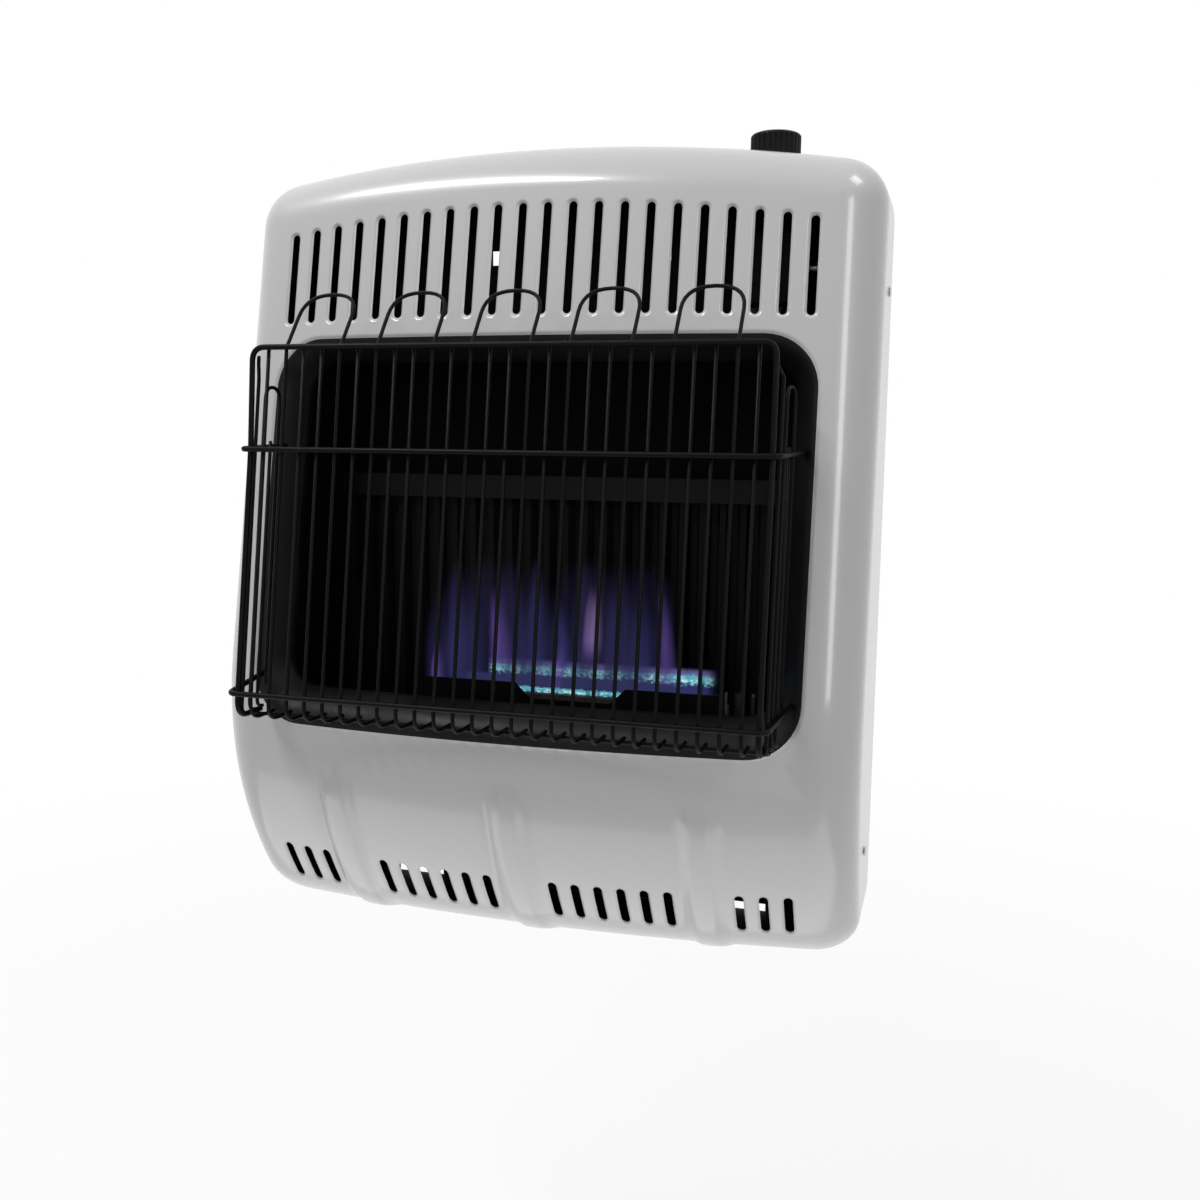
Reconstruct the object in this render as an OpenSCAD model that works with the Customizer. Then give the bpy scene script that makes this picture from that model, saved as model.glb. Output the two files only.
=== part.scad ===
// Wall-hung blue flame gas heater, in millimetres.
// The wall is the plane y = 0, the front faces -Y, and z = 0 is the lower edge of the case.

/* [Case] */
// Overall width of the case at the wall
case_w = 514.35; // [480:0.05:560]
// Height of the case at the middle of its arched top
case_h = 628.5; // [610:0.5:660]
// How far the top edge has dropped at arch_at from the middle
arch_drop = 16.9; // [8:0.1:24]
// Distance from the middle at which the arch drop is given
arch_at = 240; // [220:1:260]
// Distance from the wall to the foremost line of the face
face_depth = 189.5; // [180:0.5:200]
// Backward lean of the flat upper face, per unit of height
face_lean = 0.19; // [0.16:0.01:0.24]
// Height at which the flat face runs into the curved belly
belly_z = 230; // [200:1:250]
// Slope with which the belly tucks back at the lower edge
tuck_slope = 0.85; // [0.6:0.01:0.95]
// How far the sides of the face sit back from its middle
bow = 23.5; // [14:0.5:30]
// Radius of the rolled edge between face and sides
roll_r = 36; // [28:1:42]
// How much narrower the shell is at its rolled edge than at the wall
draft = 1; // [0.5:0.5:4]
// Thickness of the case sheet
sheet = 1.2; // [0.8:0.1:2]
// Spacing of the three pressed ribs
rib_pitch = 145; // [142:1:148]
// Half width of a pressed rib
rib_half_w = 15; // [10:1:16]
// Width of a rib's sloping flank
rib_flank = 7; // [5:0.5:9]
// How far a rib stands out of the face
rib_h = 7; // [3:0.5:9]
// Height at which a rib starts to fade
rib_full_z = 116; // [100:1:128]
// Height at which a rib has faded out
rib_end_z = 156; // [140:1:168]

/* [Louvres] */
// Number of outlet slots under the top
louvre_count = 22; // [16:2:22]
// Spacing of the outlet slots
louvre_pitch = 19.75; // [17:0.05:20]
// Width of an outlet slot
louvre_w = 6.3; // [4:0.1:8]
// Drop from the top of the case to the lower end of the outlet slots
louvre_low = 131.5; // [114:0.5:134]
// Drop from the top of the case to the upper end of the middle outlet slots
louvre_high = 48; // [45:0.5:78]
// Width of an intake slot
intake_w = 6.8; // [4:0.1:8]
// Spacing of the intake slots
intake_pitch = 18.1; // [16:0.1:18.2]
// Distance of the first inner intake slot from the middle
intake_inner_x = 27; // [25:0.5:27]
// Distance of the first outer intake slot from the middle
intake_outer_x = 171; // [168:0.5:172]
// Height of the lower end of the middle intake slots
intake_z0 = 30.5; // [28:0.5:40]
// Length of an intake slot
intake_len = 35; // [20:1:40]

/* [Fire opening] */
// Half width of the opening in the case
open_half_w = 215.5; // [214:0.5:217]
// Height of the lower edge of the opening
open_z0 = 181; // [174:1:186]
// Drop from the top of the case to the upper edge of the opening
open_drop = 147; // [145:0.5:152]
// Corner radius of the opening
open_r = 40; // [30:1:50]
// Gap between the case edge and the surround
frame_gap = 1.5; // [0.8:0.1:3]
// Width of the surround's flange hidden behind the case
frame_flange = 8; // [5:0.5:12]
// Width of the surround's sloping band at the sides and the top
frame_band = 17; // [14:1:19]
// Height of the surround's sloping band at the bottom
frame_sill = 24; // [18:1:30]
// Depth of the sloping band
frame_depth = 28; // [20:1:36]

/* [Guard] */
// Diameter of the guard uprights
wire_d = 2.8; // [2:0.1:4]
// Diameter of the guard rails
rail_d = 4.2; // [3:0.1:6]
// Number of hoops, each spanning five spaces between uprights
hoop_count = 5; // [3:2:5]
// Spacing of the uprights
wire_pitch = 14.65; // [13:0.05:14.8]
// Overall depth from the wall to the front of the guard
guard_depth = 234.95; // [225:0.05:250]
// Backward lean of the guard, per unit of height
guard_lean = 0.146; // [0.12:0.002:0.18]
// Half width of the guard rails
guard_half_w = 200; // [198:1:202]
// How much further out the ends of the rails plug into the surround
plug_out = 8; // [6:0.5:9]
// How far inside the rails' corners the top rail's stiles run down
stile_in = 5.3; // [5:0.1:7]
// Spacing of the wires in the guard's sides
side_pitch = 12.75; // [12:0.25:13]
// Height of the bottom rail
rail_low_z = 215; // [212:1:225]
// Drop from the top rail to the middle rail
rail_mid_drop = 75; // [60:1:100]
// Drop from the upper edge of the opening to the top rail
rail_top_drop = 11.5; // [8:0.5:20]
// Drop from the bottom rail to the tails of the uprights
tail_drop = 19; // [15:1:22]
// Rise of a hoop above the top rail
hoop_rise = 41; // [30:1:45]
// How far a hoop leans back
hoop_back = 32; // [20:1:38]

/* [Firebox] */
// Thickness of the firebox sheet
box_sheet = 1.2; // [0.8:0.1:2]
// Height of the firebox floor's upper face
floor_z = 158; // [152:1:164]
// How far the firebox walls rise above the opening
box_rise = 8.5; // [3:0.5:10]
// Distance from the wall to the middle of the rear shield
shield_y = 40; // [34:1:46]
// Number of corrugations of the rear shield
shield_waves = 24; // [16:1:28]
// Depth of the corrugations
shield_wave_h = 8; // [4:0.5:10]
// Height of the lower edge of the baffle bar
bar_z = 355; // [340:1:365]
// Height of the baffle bar
bar_h = 19; // [14:1:26]
// Depth of the baffle bar
bar_depth = 16; // [10:1:20]

/* [Burner] */
// Middle of the burner along the heater's width
burner_x = 36; // [20:1:40]
// Length of the burner
burner_l = 224; // [200:1:226]
// Distance from the wall to the middle of the burner
burner_y = 115; // [110:1:118]
// Depth of the burner
burner_w = 46; // [36:1:48]
// Height of the burner's port face
burner_z = 210; // [204:1:214]
// Height of the burner box
burner_h = 20; // [16:1:24]
// Number of ports in a row
port_count = 26; // [16:1:30]
// Outer diameter of the venturi and the burner's neck
venturi_d = 28; // [22:1:32]
// Height of the venturi's middle
venturi_z = 122; // [118:1:126]
// Diameter of the injector
injector_d = 14; // [12:1:16]

/* [Pilot] */
// Distance from the burner's end to the electrode
electrode_gap = 5; // [4:0.5:8]
// Spacing of electrode, pilot burner and thermocouple
pilot_pitch = 10.5; // [10:0.1:11]
// Diameter of the pilot burner
pilot_d = 8; // [6:0.5:8.5]
// Diameter of the thermocouple's tip
thermo_d = 5; // [4:0.5:6]
// Diameter of the electrode's ceramic
ceramic_d = 5; // [4:0.5:6]
// Diameter of the pilot tube and the leads
lead_d = 3.6; // [3:0.1:4]

/* [Valve and knob] */
// Distance of the knob from the middle of the heater
knob_x = 166; // [164:1:168]
// Distance of the knob's axis from the wall
knob_y = 26; // [26:1:28]
// Diameter of the knob
knob_d = 39; // [34:0.5:42]
// How far the knob stands above the middle of the case's top
knob_rise = 12.85; // [8:0.05:20]
// Height of the knob
knob_h = 34; // [30:1:38]
// Number of grip ribs on the knob
knob_ribs = 28; // [12:1:36]
// Clearance of the knob in the case
knob_gap = 1.5; // [1:0.1:2.5]
// Travel of the knob when it is pressed
push_travel = 5; // [3:0.5:6]
// Diameter of the valve stem
stem_d = 8; // [6:0.5:9]
// Running clearance of the stem, per side
stem_gap = 0.05; // [0.03:0.01:0.1]
// Width of the gas valve's body
valve_w = 56; // [54:1:58]
// Depth of the gas valve's body
valve_depth = 36; // [32:1:38]
// Drop from the top of the case to the gas valve's lower face
valve_drop = 116.5; // [113:0.5:120]
// Height of the gas valve's body
valve_h = 52; // [46:1:56]
// Wire diameter of the return spring
spring_wire = 1.4; // [1:0.1:1.8]
// Number of turns of the return spring
spring_turns = 5; // [4:1:6]

/* [Gas supply] */
// Distance of the regulator from the middle of the heater
regulator_x = 224; // [222:1:226]
// Diameter of the regulator's diaphragm housing
regulator_d = 46; // [40:1:48]
// Height of the lower end of the gas inlet
inlet_z = 34; // [28:1:40]
// Thread bore radius of the gas inlet
inlet_r = 7.3; // [6:0.1:8]
// Depth of the gas inlet's thread
inlet_depth = 14; // [10:1:16]
// Diameter of the supply and manifold pipes
pipe_d = 8; // [6:0.5:9]
// Diameter of the thermostat bulb
bulb_d = 7; // [5:0.5:8]
// Length of the thermostat bulb
bulb_l = 70; // [50:1:80]
// Height of the thermostat bulb
bulb_z = 60; // [50:1:70]

/* [Wall fixing] */
// Spacing of the two hanging windows
hang_spacing = 145; // [130:1:170]
// Drop from the top of the case to the middle of the hanging windows
hang_drop = 70.5; // [63:0.5:78]
// Height of a hanging window
hang_h = 12; // [8:1:16]
// Width of a hanging window
hang_w = 12; // [8:1:30]
// Spacing of the two notches in the lower edge of the back panel
notch_spacing = 300; // [260:1:320]
// Width of a notch
notch_w = 44; // [20:1:60]
// Height of a notch above the case's lower edge
notch_h = 8; // [4:0.5:12]
// Spacing of the two lower screw holes
lower_spacing = 300; // [240:1:340]
// Height of the lower screw holes
lower_z = 110; // [95:1:112]
// Diameter of the lower screw holes
lower_d = 6; // [4:0.5:8]

/* [Hidden] */

$fn = 48;
eps = 0.02;
// Gap kept between separate pieces that nearly touch
seat = 0.3;
half_w = case_w / 2;

// Heights that follow the top of the case
louvre_z0 = case_h - louvre_low;
louvre_z1 = case_h - louvre_high;
open_z1 = case_h - open_drop;
box_top_z = open_z1 + box_rise;
rail_top_z = open_z1 - rail_top_drop;
rail_mid_z = rail_top_z - rail_mid_drop;
knob_top_z = case_h + knob_rise;
valve_z = case_h - valve_drop;
hang_z = case_h - hang_drop;

// Face of the case as a surface y(x, z)
lean_y = -face_depth + face_lean * face_lean * belly_z / (2 * (face_lean + tuck_slope));
function profile(z) = z >= belly_z
    ? lean_y + face_lean * (z - belly_z)
    : lean_y + face_lean * (z - belly_z)
        + (face_lean + tuck_slope) * pow(belly_z - z, 2) / (2 * belly_z);
function ramp(t) = let (c = min(max(t, 0), 1)) c * c * (3 - 2 * c);
function hump(x) = ramp((rib_half_w - abs(x)) / rib_flank);
function ribs(x, z) = rib_h * ramp((rib_end_z - z) / (rib_end_z - rib_full_z))
    * (hump(x + rib_pitch) + hump(x) + hump(x - rib_pitch));
function face_y(x, z) = profile(z) + bow * pow(x / half_w, 2) - ribs(x, z);
function arch(x) = arch_drop * pow(x / arch_at, 2);

// Grid of the face inside the rolled edge: columns follow the ribs, rows follow the belly
edge_in = roll_r + draft;
grid_x = half_w - edge_in;
rib_top = rib_half_w - rib_flank;
rib_columns = [-rib_half_w, -rib_top - rib_flank / 2, -rib_top, rib_top, rib_top + rib_flank / 2, rib_half_w];
function span(a, b, n) = [for (i = [1:n - 1]) a + (b - a) * i / n];
function rib_span(x) = [for (t = rib_columns) x + t];
columns = concat([-grid_x], span(-grid_x, -rib_pitch - rib_half_w, 2), rib_span(-rib_pitch),
    span(-rib_pitch + rib_half_w, -rib_half_w, 4), rib_span(0),
    span(rib_half_w, rib_pitch - rib_half_w, 4), rib_span(rib_pitch),
    span(rib_pitch + rib_half_w, grid_x, 2), [grid_x]);
rows = concat([edge_in], span(edge_in, rib_full_z, 3), [rib_full_z], span(rib_full_z, rib_end_z, 4),
    [rib_end_z], span(rib_end_z, belly_z, 4), [belly_z], span(belly_z, case_h - edge_in, 2));
corner_steps = 5;
roll_steps = 5;
nx = len(columns);
nz = len(rows) + 1;
function row_z(x, j) = j < nz - 1 ? rows[j] : case_h - edge_in - arch(x);
function arch_tilt(x) = atan(2 * arch(x) / (x == 0 ? 1 : x));

// Front view loop around the face grid, each entry being [x, z, outward angle]
corner_tilt = arch_tilt(grid_x);
function corner_fan(x, z, a0, a1) = [for (i = [1:corner_steps - 1]) [x, z,
        a0 + (a1 - a0) * i / corner_steps]];
edge_loop = concat(
    [for (i = [0:nx - 1]) [columns[i], rows[0], -90]],
    corner_fan(grid_x, rows[0], -90, 0),
    [for (j = [0:nz - 1]) [grid_x, row_z(grid_x, j), 0]],
    corner_fan(grid_x, row_z(grid_x, nz - 1), 0, 90 - corner_tilt),
    [for (i = [nx - 1:-1:0]) [columns[i], row_z(columns[i], nz - 1), 90 - arch_tilt(columns[i])]],
    corner_fan(-grid_x, row_z(grid_x, nz - 1), 90 + corner_tilt, 180),
    [for (j = [nz - 1:-1:0]) [-grid_x, row_z(grid_x, j), 180]],
    corner_fan(-grid_x, rows[0], 180, 270));
loop_n = len(edge_loop);
function loop_point(k, out) = [edge_loop[k][0] + out * cos(edge_loop[k][2]),
        edge_loop[k][1] + out * sin(edge_loop[k][2])];
// Index in the face grid of each entry of the loop
grid_loop = concat(
    [for (i = [0:nx - 1]) i], [for (i = [1:corner_steps - 1]) nx - 1],
    [for (j = [0:nz - 1]) j * nx + nx - 1], [for (i = [1:corner_steps - 1]) nz * nx - 1],
    [for (i = [nx - 1:-1:0]) (nz - 1) * nx + i], [for (i = [1:corner_steps - 1]) (nz - 1) * nx],
    [for (j = [nz - 1:-1:0]) j * nx], [for (i = [1:corner_steps - 1]) 0]);

// Skin of the case at a depth of t inside its outer surface
function skin_points(t) = concat(
    [for (j = [0:nz - 1]) for (x = columns) let (z = row_z(x, j)) [x, face_y(x, z) + t, z]],
    [for (s = [1:roll_steps]) let (a = 90 * s / roll_steps, r = roll_r - t)
        for (k = [0:loop_n - 1]) let (p = loop_point(k, r * sin(a)))
            [p[0], face_y(p[0], p[1]) + t + r * (1 - cos(a)), p[1]]],
    [for (k = [0:loop_n - 1]) let (p = loop_point(k, edge_in - t)) [p[0], 0, p[1]]]);
skin_n = nx * nz + (roll_steps + 1) * loop_n;
function ring_index(s, k) = s == 0 ? grid_loop[k % loop_n] : nx * nz + (s - 1) * loop_n + k % loop_n;
function split_quad(a, b, c, d) = concat(a == b ? [] : [[a, b, c]], [[a, c, d]]);
skin_faces = concat(
    [for (j = [0:nz - 2]) for (i = [0:nx - 2]) let (a = j * nx + i)
        each [[a, a + nx, a + nx + 1], [a, a + nx + 1, a + 1]]],
    [for (s = [0:roll_steps]) for (k = [0:loop_n - 1])
        if (s > 0 || loop_point(k, 1) != loop_point(k + 1 == loop_n ? 0 : k + 1, 1))
            each [for (f = split_quad(ring_index(s, k), ring_index(s, k + 1), ring_index(s + 1, k + 1),
                    ring_index(s + 1, k))) f]]);
rim_faces = [for (k = [0:loop_n - 1]) let (a = ring_index(roll_steps + 1, k),
        b = ring_index(roll_steps + 1, k + 1))
    each [[a, b, b + skin_n], [a, b + skin_n, a + skin_n]]];

module case_shell() {
    polyhedron(
        points = concat(skin_points(0), skin_points(sheet)),
        faces = concat(skin_faces, [for (f = skin_faces) [f[0] + skin_n, f[2] + skin_n, f[1] + skin_n]],
                rim_faces));
}

// Outline of the case in the front view, a given distance inside its largest edge
function case_outline(inset) = [for (k = [0:loop_n - 1]) loop_point(k, edge_in - inset)];

// Rounded rectangle in the front view, its long edges divided so that they can follow the bow
loop_arc = 6;
loop_parts = 8;
function loop_corner(x, z, r, a) = [for (i = [0:loop_arc]) let (b = a + 90 * i / loop_arc)
    [x + r * cos(b), z + r * sin(b)]];
function loop_edge(x0, x1, z) = [for (i = [1:loop_parts - 1]) [x0 + (x1 - x0) * i / loop_parts, z]];
function rounded_loop(w, z0, z1, r) = concat(
    loop_corner(w - r, z0 + r, r, -90),
    loop_corner(w - r, z1 - r, r, 0),
    loop_edge(w - r, r - w, z1),
    loop_corner(r - w, z1 - r, r, 90),
    loop_corner(r - w, z0 + r, r, 180),
    loop_edge(r - w, w - r, z0));

// Tubes and wires along rounded paths
function unit(v) = v / norm(v);
// The bend radius is one number for all corners, or a list with one for each
function bend_at(r, i) = is_num(r) ? r : r[i - 1];
function rounded_path(p, r) = concat([p[0]],
    [for (i = [1:len(p) - 2]) let (a = unit(p[i - 1] - p[i]), b = unit(p[i + 1] - p[i]),
            d = bend_at(r, i) * tan((180 - acos(max(-1, min(1, a * b)))) / 2))
        each [for (t = [0:0.2:1]) p[i] + a * d * pow(1 - t, 2) + b * d * pow(t, 2)]],
    [p[len(p) - 1]]);
function tangents(p) = [for (i = [0:len(p) - 1]) unit(p[min(i + 1, len(p) - 1)] - p[max(i - 1, 0)])];
function carry(t, n, i = 1) = i >= len(t) ? n : carry(t, concat(n,
        [unit(n[i - 1] - (n[i - 1] * t[i]) * t[i])]), i + 1);
function any_normal(t) = unit(cross(t, abs(t[2]) < 0.9 ? [0, 0, 1] : [1, 0, 0]));

// Round tube or wire along a path of points
module tube(p, d, sides = 8) {
    t = tangents(p);
    u = carry(t, [any_normal(t[0])]);
    n = len(p);
    polyhedron(
        points = [for (i = [0:n - 1]) let (v = cross(t[i], u[i]))
            for (k = [0:sides - 1]) p[i] + d / 2 * (cos(360 * k / sides) * u[i] + sin(360 * k / sides)
                    * v)],
        faces = concat(
            [[for (k = [sides - 1:-1:0]) k]],
            [for (i = [0:n - 2]) for (k = [0:sides - 1]) let (a = i * sides + k,
                    b = i * sides + (k + 1) % sides)
                each [[a, b, b + sides], [a, b + sides, a + sides]]],
            [[for (k = [0:sides - 1]) (n - 1) * sides + k]]));
}

// Slot along Y, from one end's height to the other's
module slot_y(x, z0, z1, w, y0, y1) {
    hull() for (z = [z0 + w / 2, z1 - w / 2])
        translate([x, y1, z]) rotate([90, 0, 0]) cylinder(d = w, h = y1 - y0, $fn = 12);
}
module bore_y(x, z, d, y0, y1) {
    translate([x, y1, z]) rotate([90, 0, 0]) cylinder(d = d, h = y1 - y0);
}

// Louvres and intake slots of the case
louvre_half = (louvre_count - 1) / 2;
intake_slots = concat([for (i = [0:5]) intake_inner_x + i * intake_pitch],
        [for (i = [0:2]) intake_outer_x + i * intake_pitch]);
intake_lift = 6;
// How far cuts reach in front of the face, and where cuts from the front end
front_cut = 1.2 * face_depth;
rear_cut = edge_in + 10;

// Side screws of the case, and the flanges that they hold on to
screw_d = 4;
screw_head_d = 8;
screw_head_h = 1.2;
screw_l = 9;
head_gap = 0.15;
low_screw_z = 85;
high_screw_drop = 108.5;
// Places of the side screws, each being [distance in front of the wall, height]
screw_spots = [[62, low_screw_z], [26, case_h - high_screw_drop]];
function side_x(d, z) = half_w - draft * d / (-plain_face_y(half_w - draft, z) - roll_r);

module outer_case() {
    color("gainsboro") difference() {
        case_shell();
        for (i = [0:louvre_count - 1]) {
            x = (i - louvre_half) * louvre_pitch;
            s = pow((i - louvre_half) / louvre_half, 2);
            slot_y(x, louvre_z0 - 3 * s, louvre_z1 - arch(louvre_half * louvre_pitch) * s * 1.2,
                    louvre_w, -front_cut, -rear_cut);
        }
        for (side = [-1, 1]) for (x = intake_slots) {
            lift = intake_lift * pow(x / half_w, 2);
            slot_y(side * x, intake_z0 + lift, intake_z0 + intake_len + lift, intake_w, -front_cut,
                    -rear_cut);
        }
        translate([0, -edge_in, 0]) rotate([90, 0, 0])
            linear_extrude(front_cut) polygon(rounded_loop(open_half_w, open_z0, open_z1, open_r));
        translate([knob_x, -knob_y, case_h - edge_in]) cylinder(d = knob_d + 2 * knob_gap,
                h = edge_in + 10);
        translate([entry_x0, regulator_y - entry_reach, -eps])
            cube([entry_x1 - entry_x0, 2 * entry_reach, edge_in / 2]);
        for (p = screw_spots) translate([-half_w - 1, -p[0], p[1]]) rotate([0, 90, 0])
            cylinder(d = screw_d + 0.4, h = case_w + 2, $fn = 16);
    }
}

// Back panel, with side flanges for the case screws
panel_inset = sheet + seat;
module back_panel() {
    color("dimgray") {
        difference() {
            rotate([90, 0, 0]) linear_extrude(box_sheet) polygon(case_outline(panel_inset));
            for (s = [-1, 1]) {
                translate([s * hang_spacing / 2 - hang_w / 2, -box_sheet - 1, hang_z - hang_h / 2])
                    cube([hang_w, box_sheet + 2, hang_h]);
                translate([(s * notch_spacing - notch_w) / 2, -box_sheet - 1, 0])
                    cube([notch_w, box_sheet + 2, notch_h]);
                bore_y(s * lower_spacing / 2, lower_z, lower_d, -box_sheet - 1, 1);
            }
        }
        for (s = [-1, 1]) for (p = screw_spots) difference() {
            side_tab(s, p[0] + tab_reach, p[1]);
            translate([s * half_w / 2, -p[0], p[1]]) rotate([0, s * 90, 0])
                cylinder(d = screw_d + 2 * stem_gap, h = half_w);
        }
    }
}
// Tab from the back panel along the inside of the case, where a side screw bites
tab_w = 26;
tab_sheet = 2;
tab_reach = 9;
module side_tab(s, d, z) {
    front_x = side_x(d, z + tab_w / 2) - sheet - 2 * seat;
    rear_x = half_w - panel_inset - 2 * seat;
    translate([0, 0, z - tab_w / 2]) linear_extrude(tab_w)
        polygon([[s * rear_x, -box_sheet], [s * front_x, -d],
            [s * (front_x - tab_sheet), -d], [s * (rear_x - tab_sheet), -box_sheet]]);
}

// Black pressed surround of the fire opening
frame_w = open_half_w - frame_gap;
frame_z0 = open_z0 + frame_gap;
frame_z1 = open_z1 - frame_gap;
frame_r = open_r - frame_gap;
frame_seat = sheet + 2 * seat;
// Section of the surround, each entry being [loop, depth behind the face]
frame_in_r = frame_r - frame_band + 3;
mid_in = frame_band * 0.45;
mid_sill = frame_sill * 0.62;
mid_r = frame_r - frame_band * 0.4;
mid_depth = frame_depth * 0.35;
function frame_loop(side, sill, r, t) = rounded_loop(frame_w - side + t, frame_z0 + sill - t,
        frame_z1 - side + t, r + t);
flange_loop = frame_loop(-frame_flange, -frame_flange, frame_r + frame_flange, 0);
frame_loops = [
    [flange_loop, frame_seat],
    [frame_loop(0, 0, frame_r, 0), frame_seat],
    [frame_loop(mid_in, mid_sill, mid_r, 0), frame_seat + mid_depth],
    [frame_loop(frame_band, frame_sill, frame_in_r, 0), frame_seat + frame_depth],
    [frame_loop(frame_band, frame_sill, frame_in_r, box_sheet), frame_seat + frame_depth],
    [frame_loop(mid_in, mid_sill, mid_r, box_sheet), frame_seat + mid_depth + box_sheet],
    [frame_loop(0, 0, frame_r, box_sheet), frame_seat + box_sheet],
    [flange_loop, frame_seat + box_sheet]];
// Depth of the surround's side band behind the face, at a distance from the middle
function band_depth(x) = let (d = frame_w - x)
    frame_seat + (d < mid_in ? mid_depth * d / mid_in : mid_depth + (frame_depth - mid_depth) * (d
            - mid_in) / (frame_band - mid_in));
function plain_face_y(x, z) = profile(z) + bow * pow(x / half_w, 2);
module opening_frame() {
    m = len(frame_loops);
    n = len(frame_loops[0][0]);
    color("black") polyhedron(
        points = [for (s = frame_loops) for (p = s[0]) [p[0], plain_face_y(p[0], p[1]) + s[1], p[1]]],
        faces = [for (i = [0:m - 1]) for (k = [0:n - 1])
            let (a = i * n + k, b = i * n + (k + 1) % n, c = ((i + 1) % m) * n + (k + 1) % n,
                    d = ((i + 1) % m) * n + k)
                each [[a, c, b], [a, d, c]]]);
}

// Firebox: walls on the back panel, floor, hood and back between them
box_half_w = frame_w - frame_band + box_sheet + seat;
function box_front_y(z) = plain_face_y(box_half_w, z) + frame_seat + frame_depth;
wall_zs = [floor_z - 25, floor_z, belly_z, box_top_z];
module firebox_wall(s) {
    x0 = s > 0 ? box_half_w : -box_half_w - box_sheet;
    color("black") translate([x0, 0, 0]) rotate([90, 0, 90]) linear_extrude(box_sheet)
        polygon(concat([for (z = wall_zs) [box_front_y(z), z]],
            [[-box_sheet, box_top_z], [-box_sheet, wall_zs[0]]]));
}
module firebox_left_wall() { firebox_wall(-1); }
module firebox_right_wall() { firebox_wall(1); }

floor_front = box_front_y(floor_z) + 2;
floor_back = -shield_y + shield_wave_h / 2 + box_sheet;
pilot_xs = [for (i = [0:2]) burner_x + burner_l / 2 + electrode_gap + i * pilot_pitch];
module firebox_floor() {
    color("black") difference() {
        translate([-box_half_w, floor_front, floor_z - box_sheet]) cube([2 * box_half_w,
                floor_back - floor_front, box_sheet]);
        translate([burner_x, -burner_y, floor_z - box_sheet - 1]) cylinder(d = venturi_d + 2 * seat,
                h = box_sheet + 2);
        for (x = pilot_xs) translate([x, -burner_y, floor_z - box_sheet - 1]) cylinder(d = lead_d + 2
                * seat, h = box_sheet + 2);
    }
}
// The hood slopes up to the rear, below the top of the walls
hood_front = box_front_y(box_top_z);
hood_back = -shield_y - 10;
hood_front_z = box_top_z - 14;
hood_back_z = box_top_z - 4;
module firebox_hood() {
    color("black") translate([-box_half_w, 0, 0]) rotate([90, 0, 90]) linear_extrude(2 * box_half_w)
        polygon([[hood_front, hood_front_z], [hood_back, hood_back_z],
            [hood_back, hood_back_z + box_sheet], [hood_front, hood_front_z + box_sheet]]);
}
back_front_y = -shield_y + shield_wave_h / 2;
module firebox_back() {
    color("black") translate([-box_half_w, back_front_y, bar_z + bar_h]) cube([2 * box_half_w,
            box_sheet, box_top_z - bar_z - bar_h]);
}
wave_pitch = 2 * box_half_w / shield_waves;
function wave(y) = concat([for (i = [0:shield_waves - 1]) each
    [[i * wave_pitch, y], [(i + 0.3) * wave_pitch, y], [(i + 0.5) * wave_pitch, y + shield_wave_h],
            [(i + 0.8) * wave_pitch, y + shield_wave_h]]],
    [[2 * box_half_w, y]]);
function reversed(p) = [for (i = [len(p) - 1:-1:0]) p[i]];
module rear_shield() {
    color("black") translate([-box_half_w, -shield_y - shield_wave_h / 2 - box_sheet,
            floor_z]) linear_extrude(bar_z - floor_z)
        polygon(concat(wave(0), reversed(wave(box_sheet))));
}
module baffle_bar() {
    bar_back = back_front_y + box_sheet;
    color("black") translate([-box_half_w, 0, bar_z]) rotate([90, 0, 90]) linear_extrude(2 * box_half_w)
        polygon([[bar_back, 0], [bar_back - bar_depth, 0], [bar_back - bar_depth, bar_h],
                [bar_back - bar_depth + box_sheet, bar_h],
            [bar_back - bar_depth + box_sheet, box_sheet], [bar_back - box_sheet, box_sheet],
                    [bar_back - box_sheet, bar_h], [bar_back, bar_h]]);
}

// Guard: rails in front, uprights touching them from behind
wire_count = 5 * hoop_count + 1;
wire_half = (wire_count - 1) / 2;
rail_low_y = -guard_depth + rail_d / 2;
function rail_y(z) = rail_low_y + guard_lean * (z - rail_low_z);
wire_back = (rail_d + wire_d) / 2 * sqrt(1 + guard_lean * guard_lean) + eps;
function wire_y(z) = rail_y(z) + wire_back;
function wire_x(i) = (i - wire_half) * wire_pitch;
rail_bend = 8;
// Depth at which the ends of a rail meet the surround's side band
plug_x = guard_half_w + plug_out;
function plug_y(z) = plain_face_y(plug_x, z) + band_depth(plug_x + rail_d / 2) - seat;
function rail_path(z, end_z) = let (y = rail_y(z), e = plug_y(end_z))
    [[-plug_x, e, end_z], [-guard_half_w, y, z], [guard_half_w, y, z], [plug_x, e, end_z]];
module guard_rail(z, end_z) {
    color("black") tube(rounded_path(rail_path(z, end_z), rail_bend), rail_d);
}
// The middle and bottom rails' ends rise a little towards the surround
mid_end_rise = 2;
low_end_rise = 5;
module guard_middle_rail() { guard_rail(rail_mid_z, rail_mid_z + mid_end_rise); }
module guard_bottom_rail() { guard_rail(rail_low_z, rail_low_z + low_end_rise); }
tail_z = rail_low_z - tail_drop;
tail_y = plain_face_y(0, tail_z) - 8;
tail_bend = 13;
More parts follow.
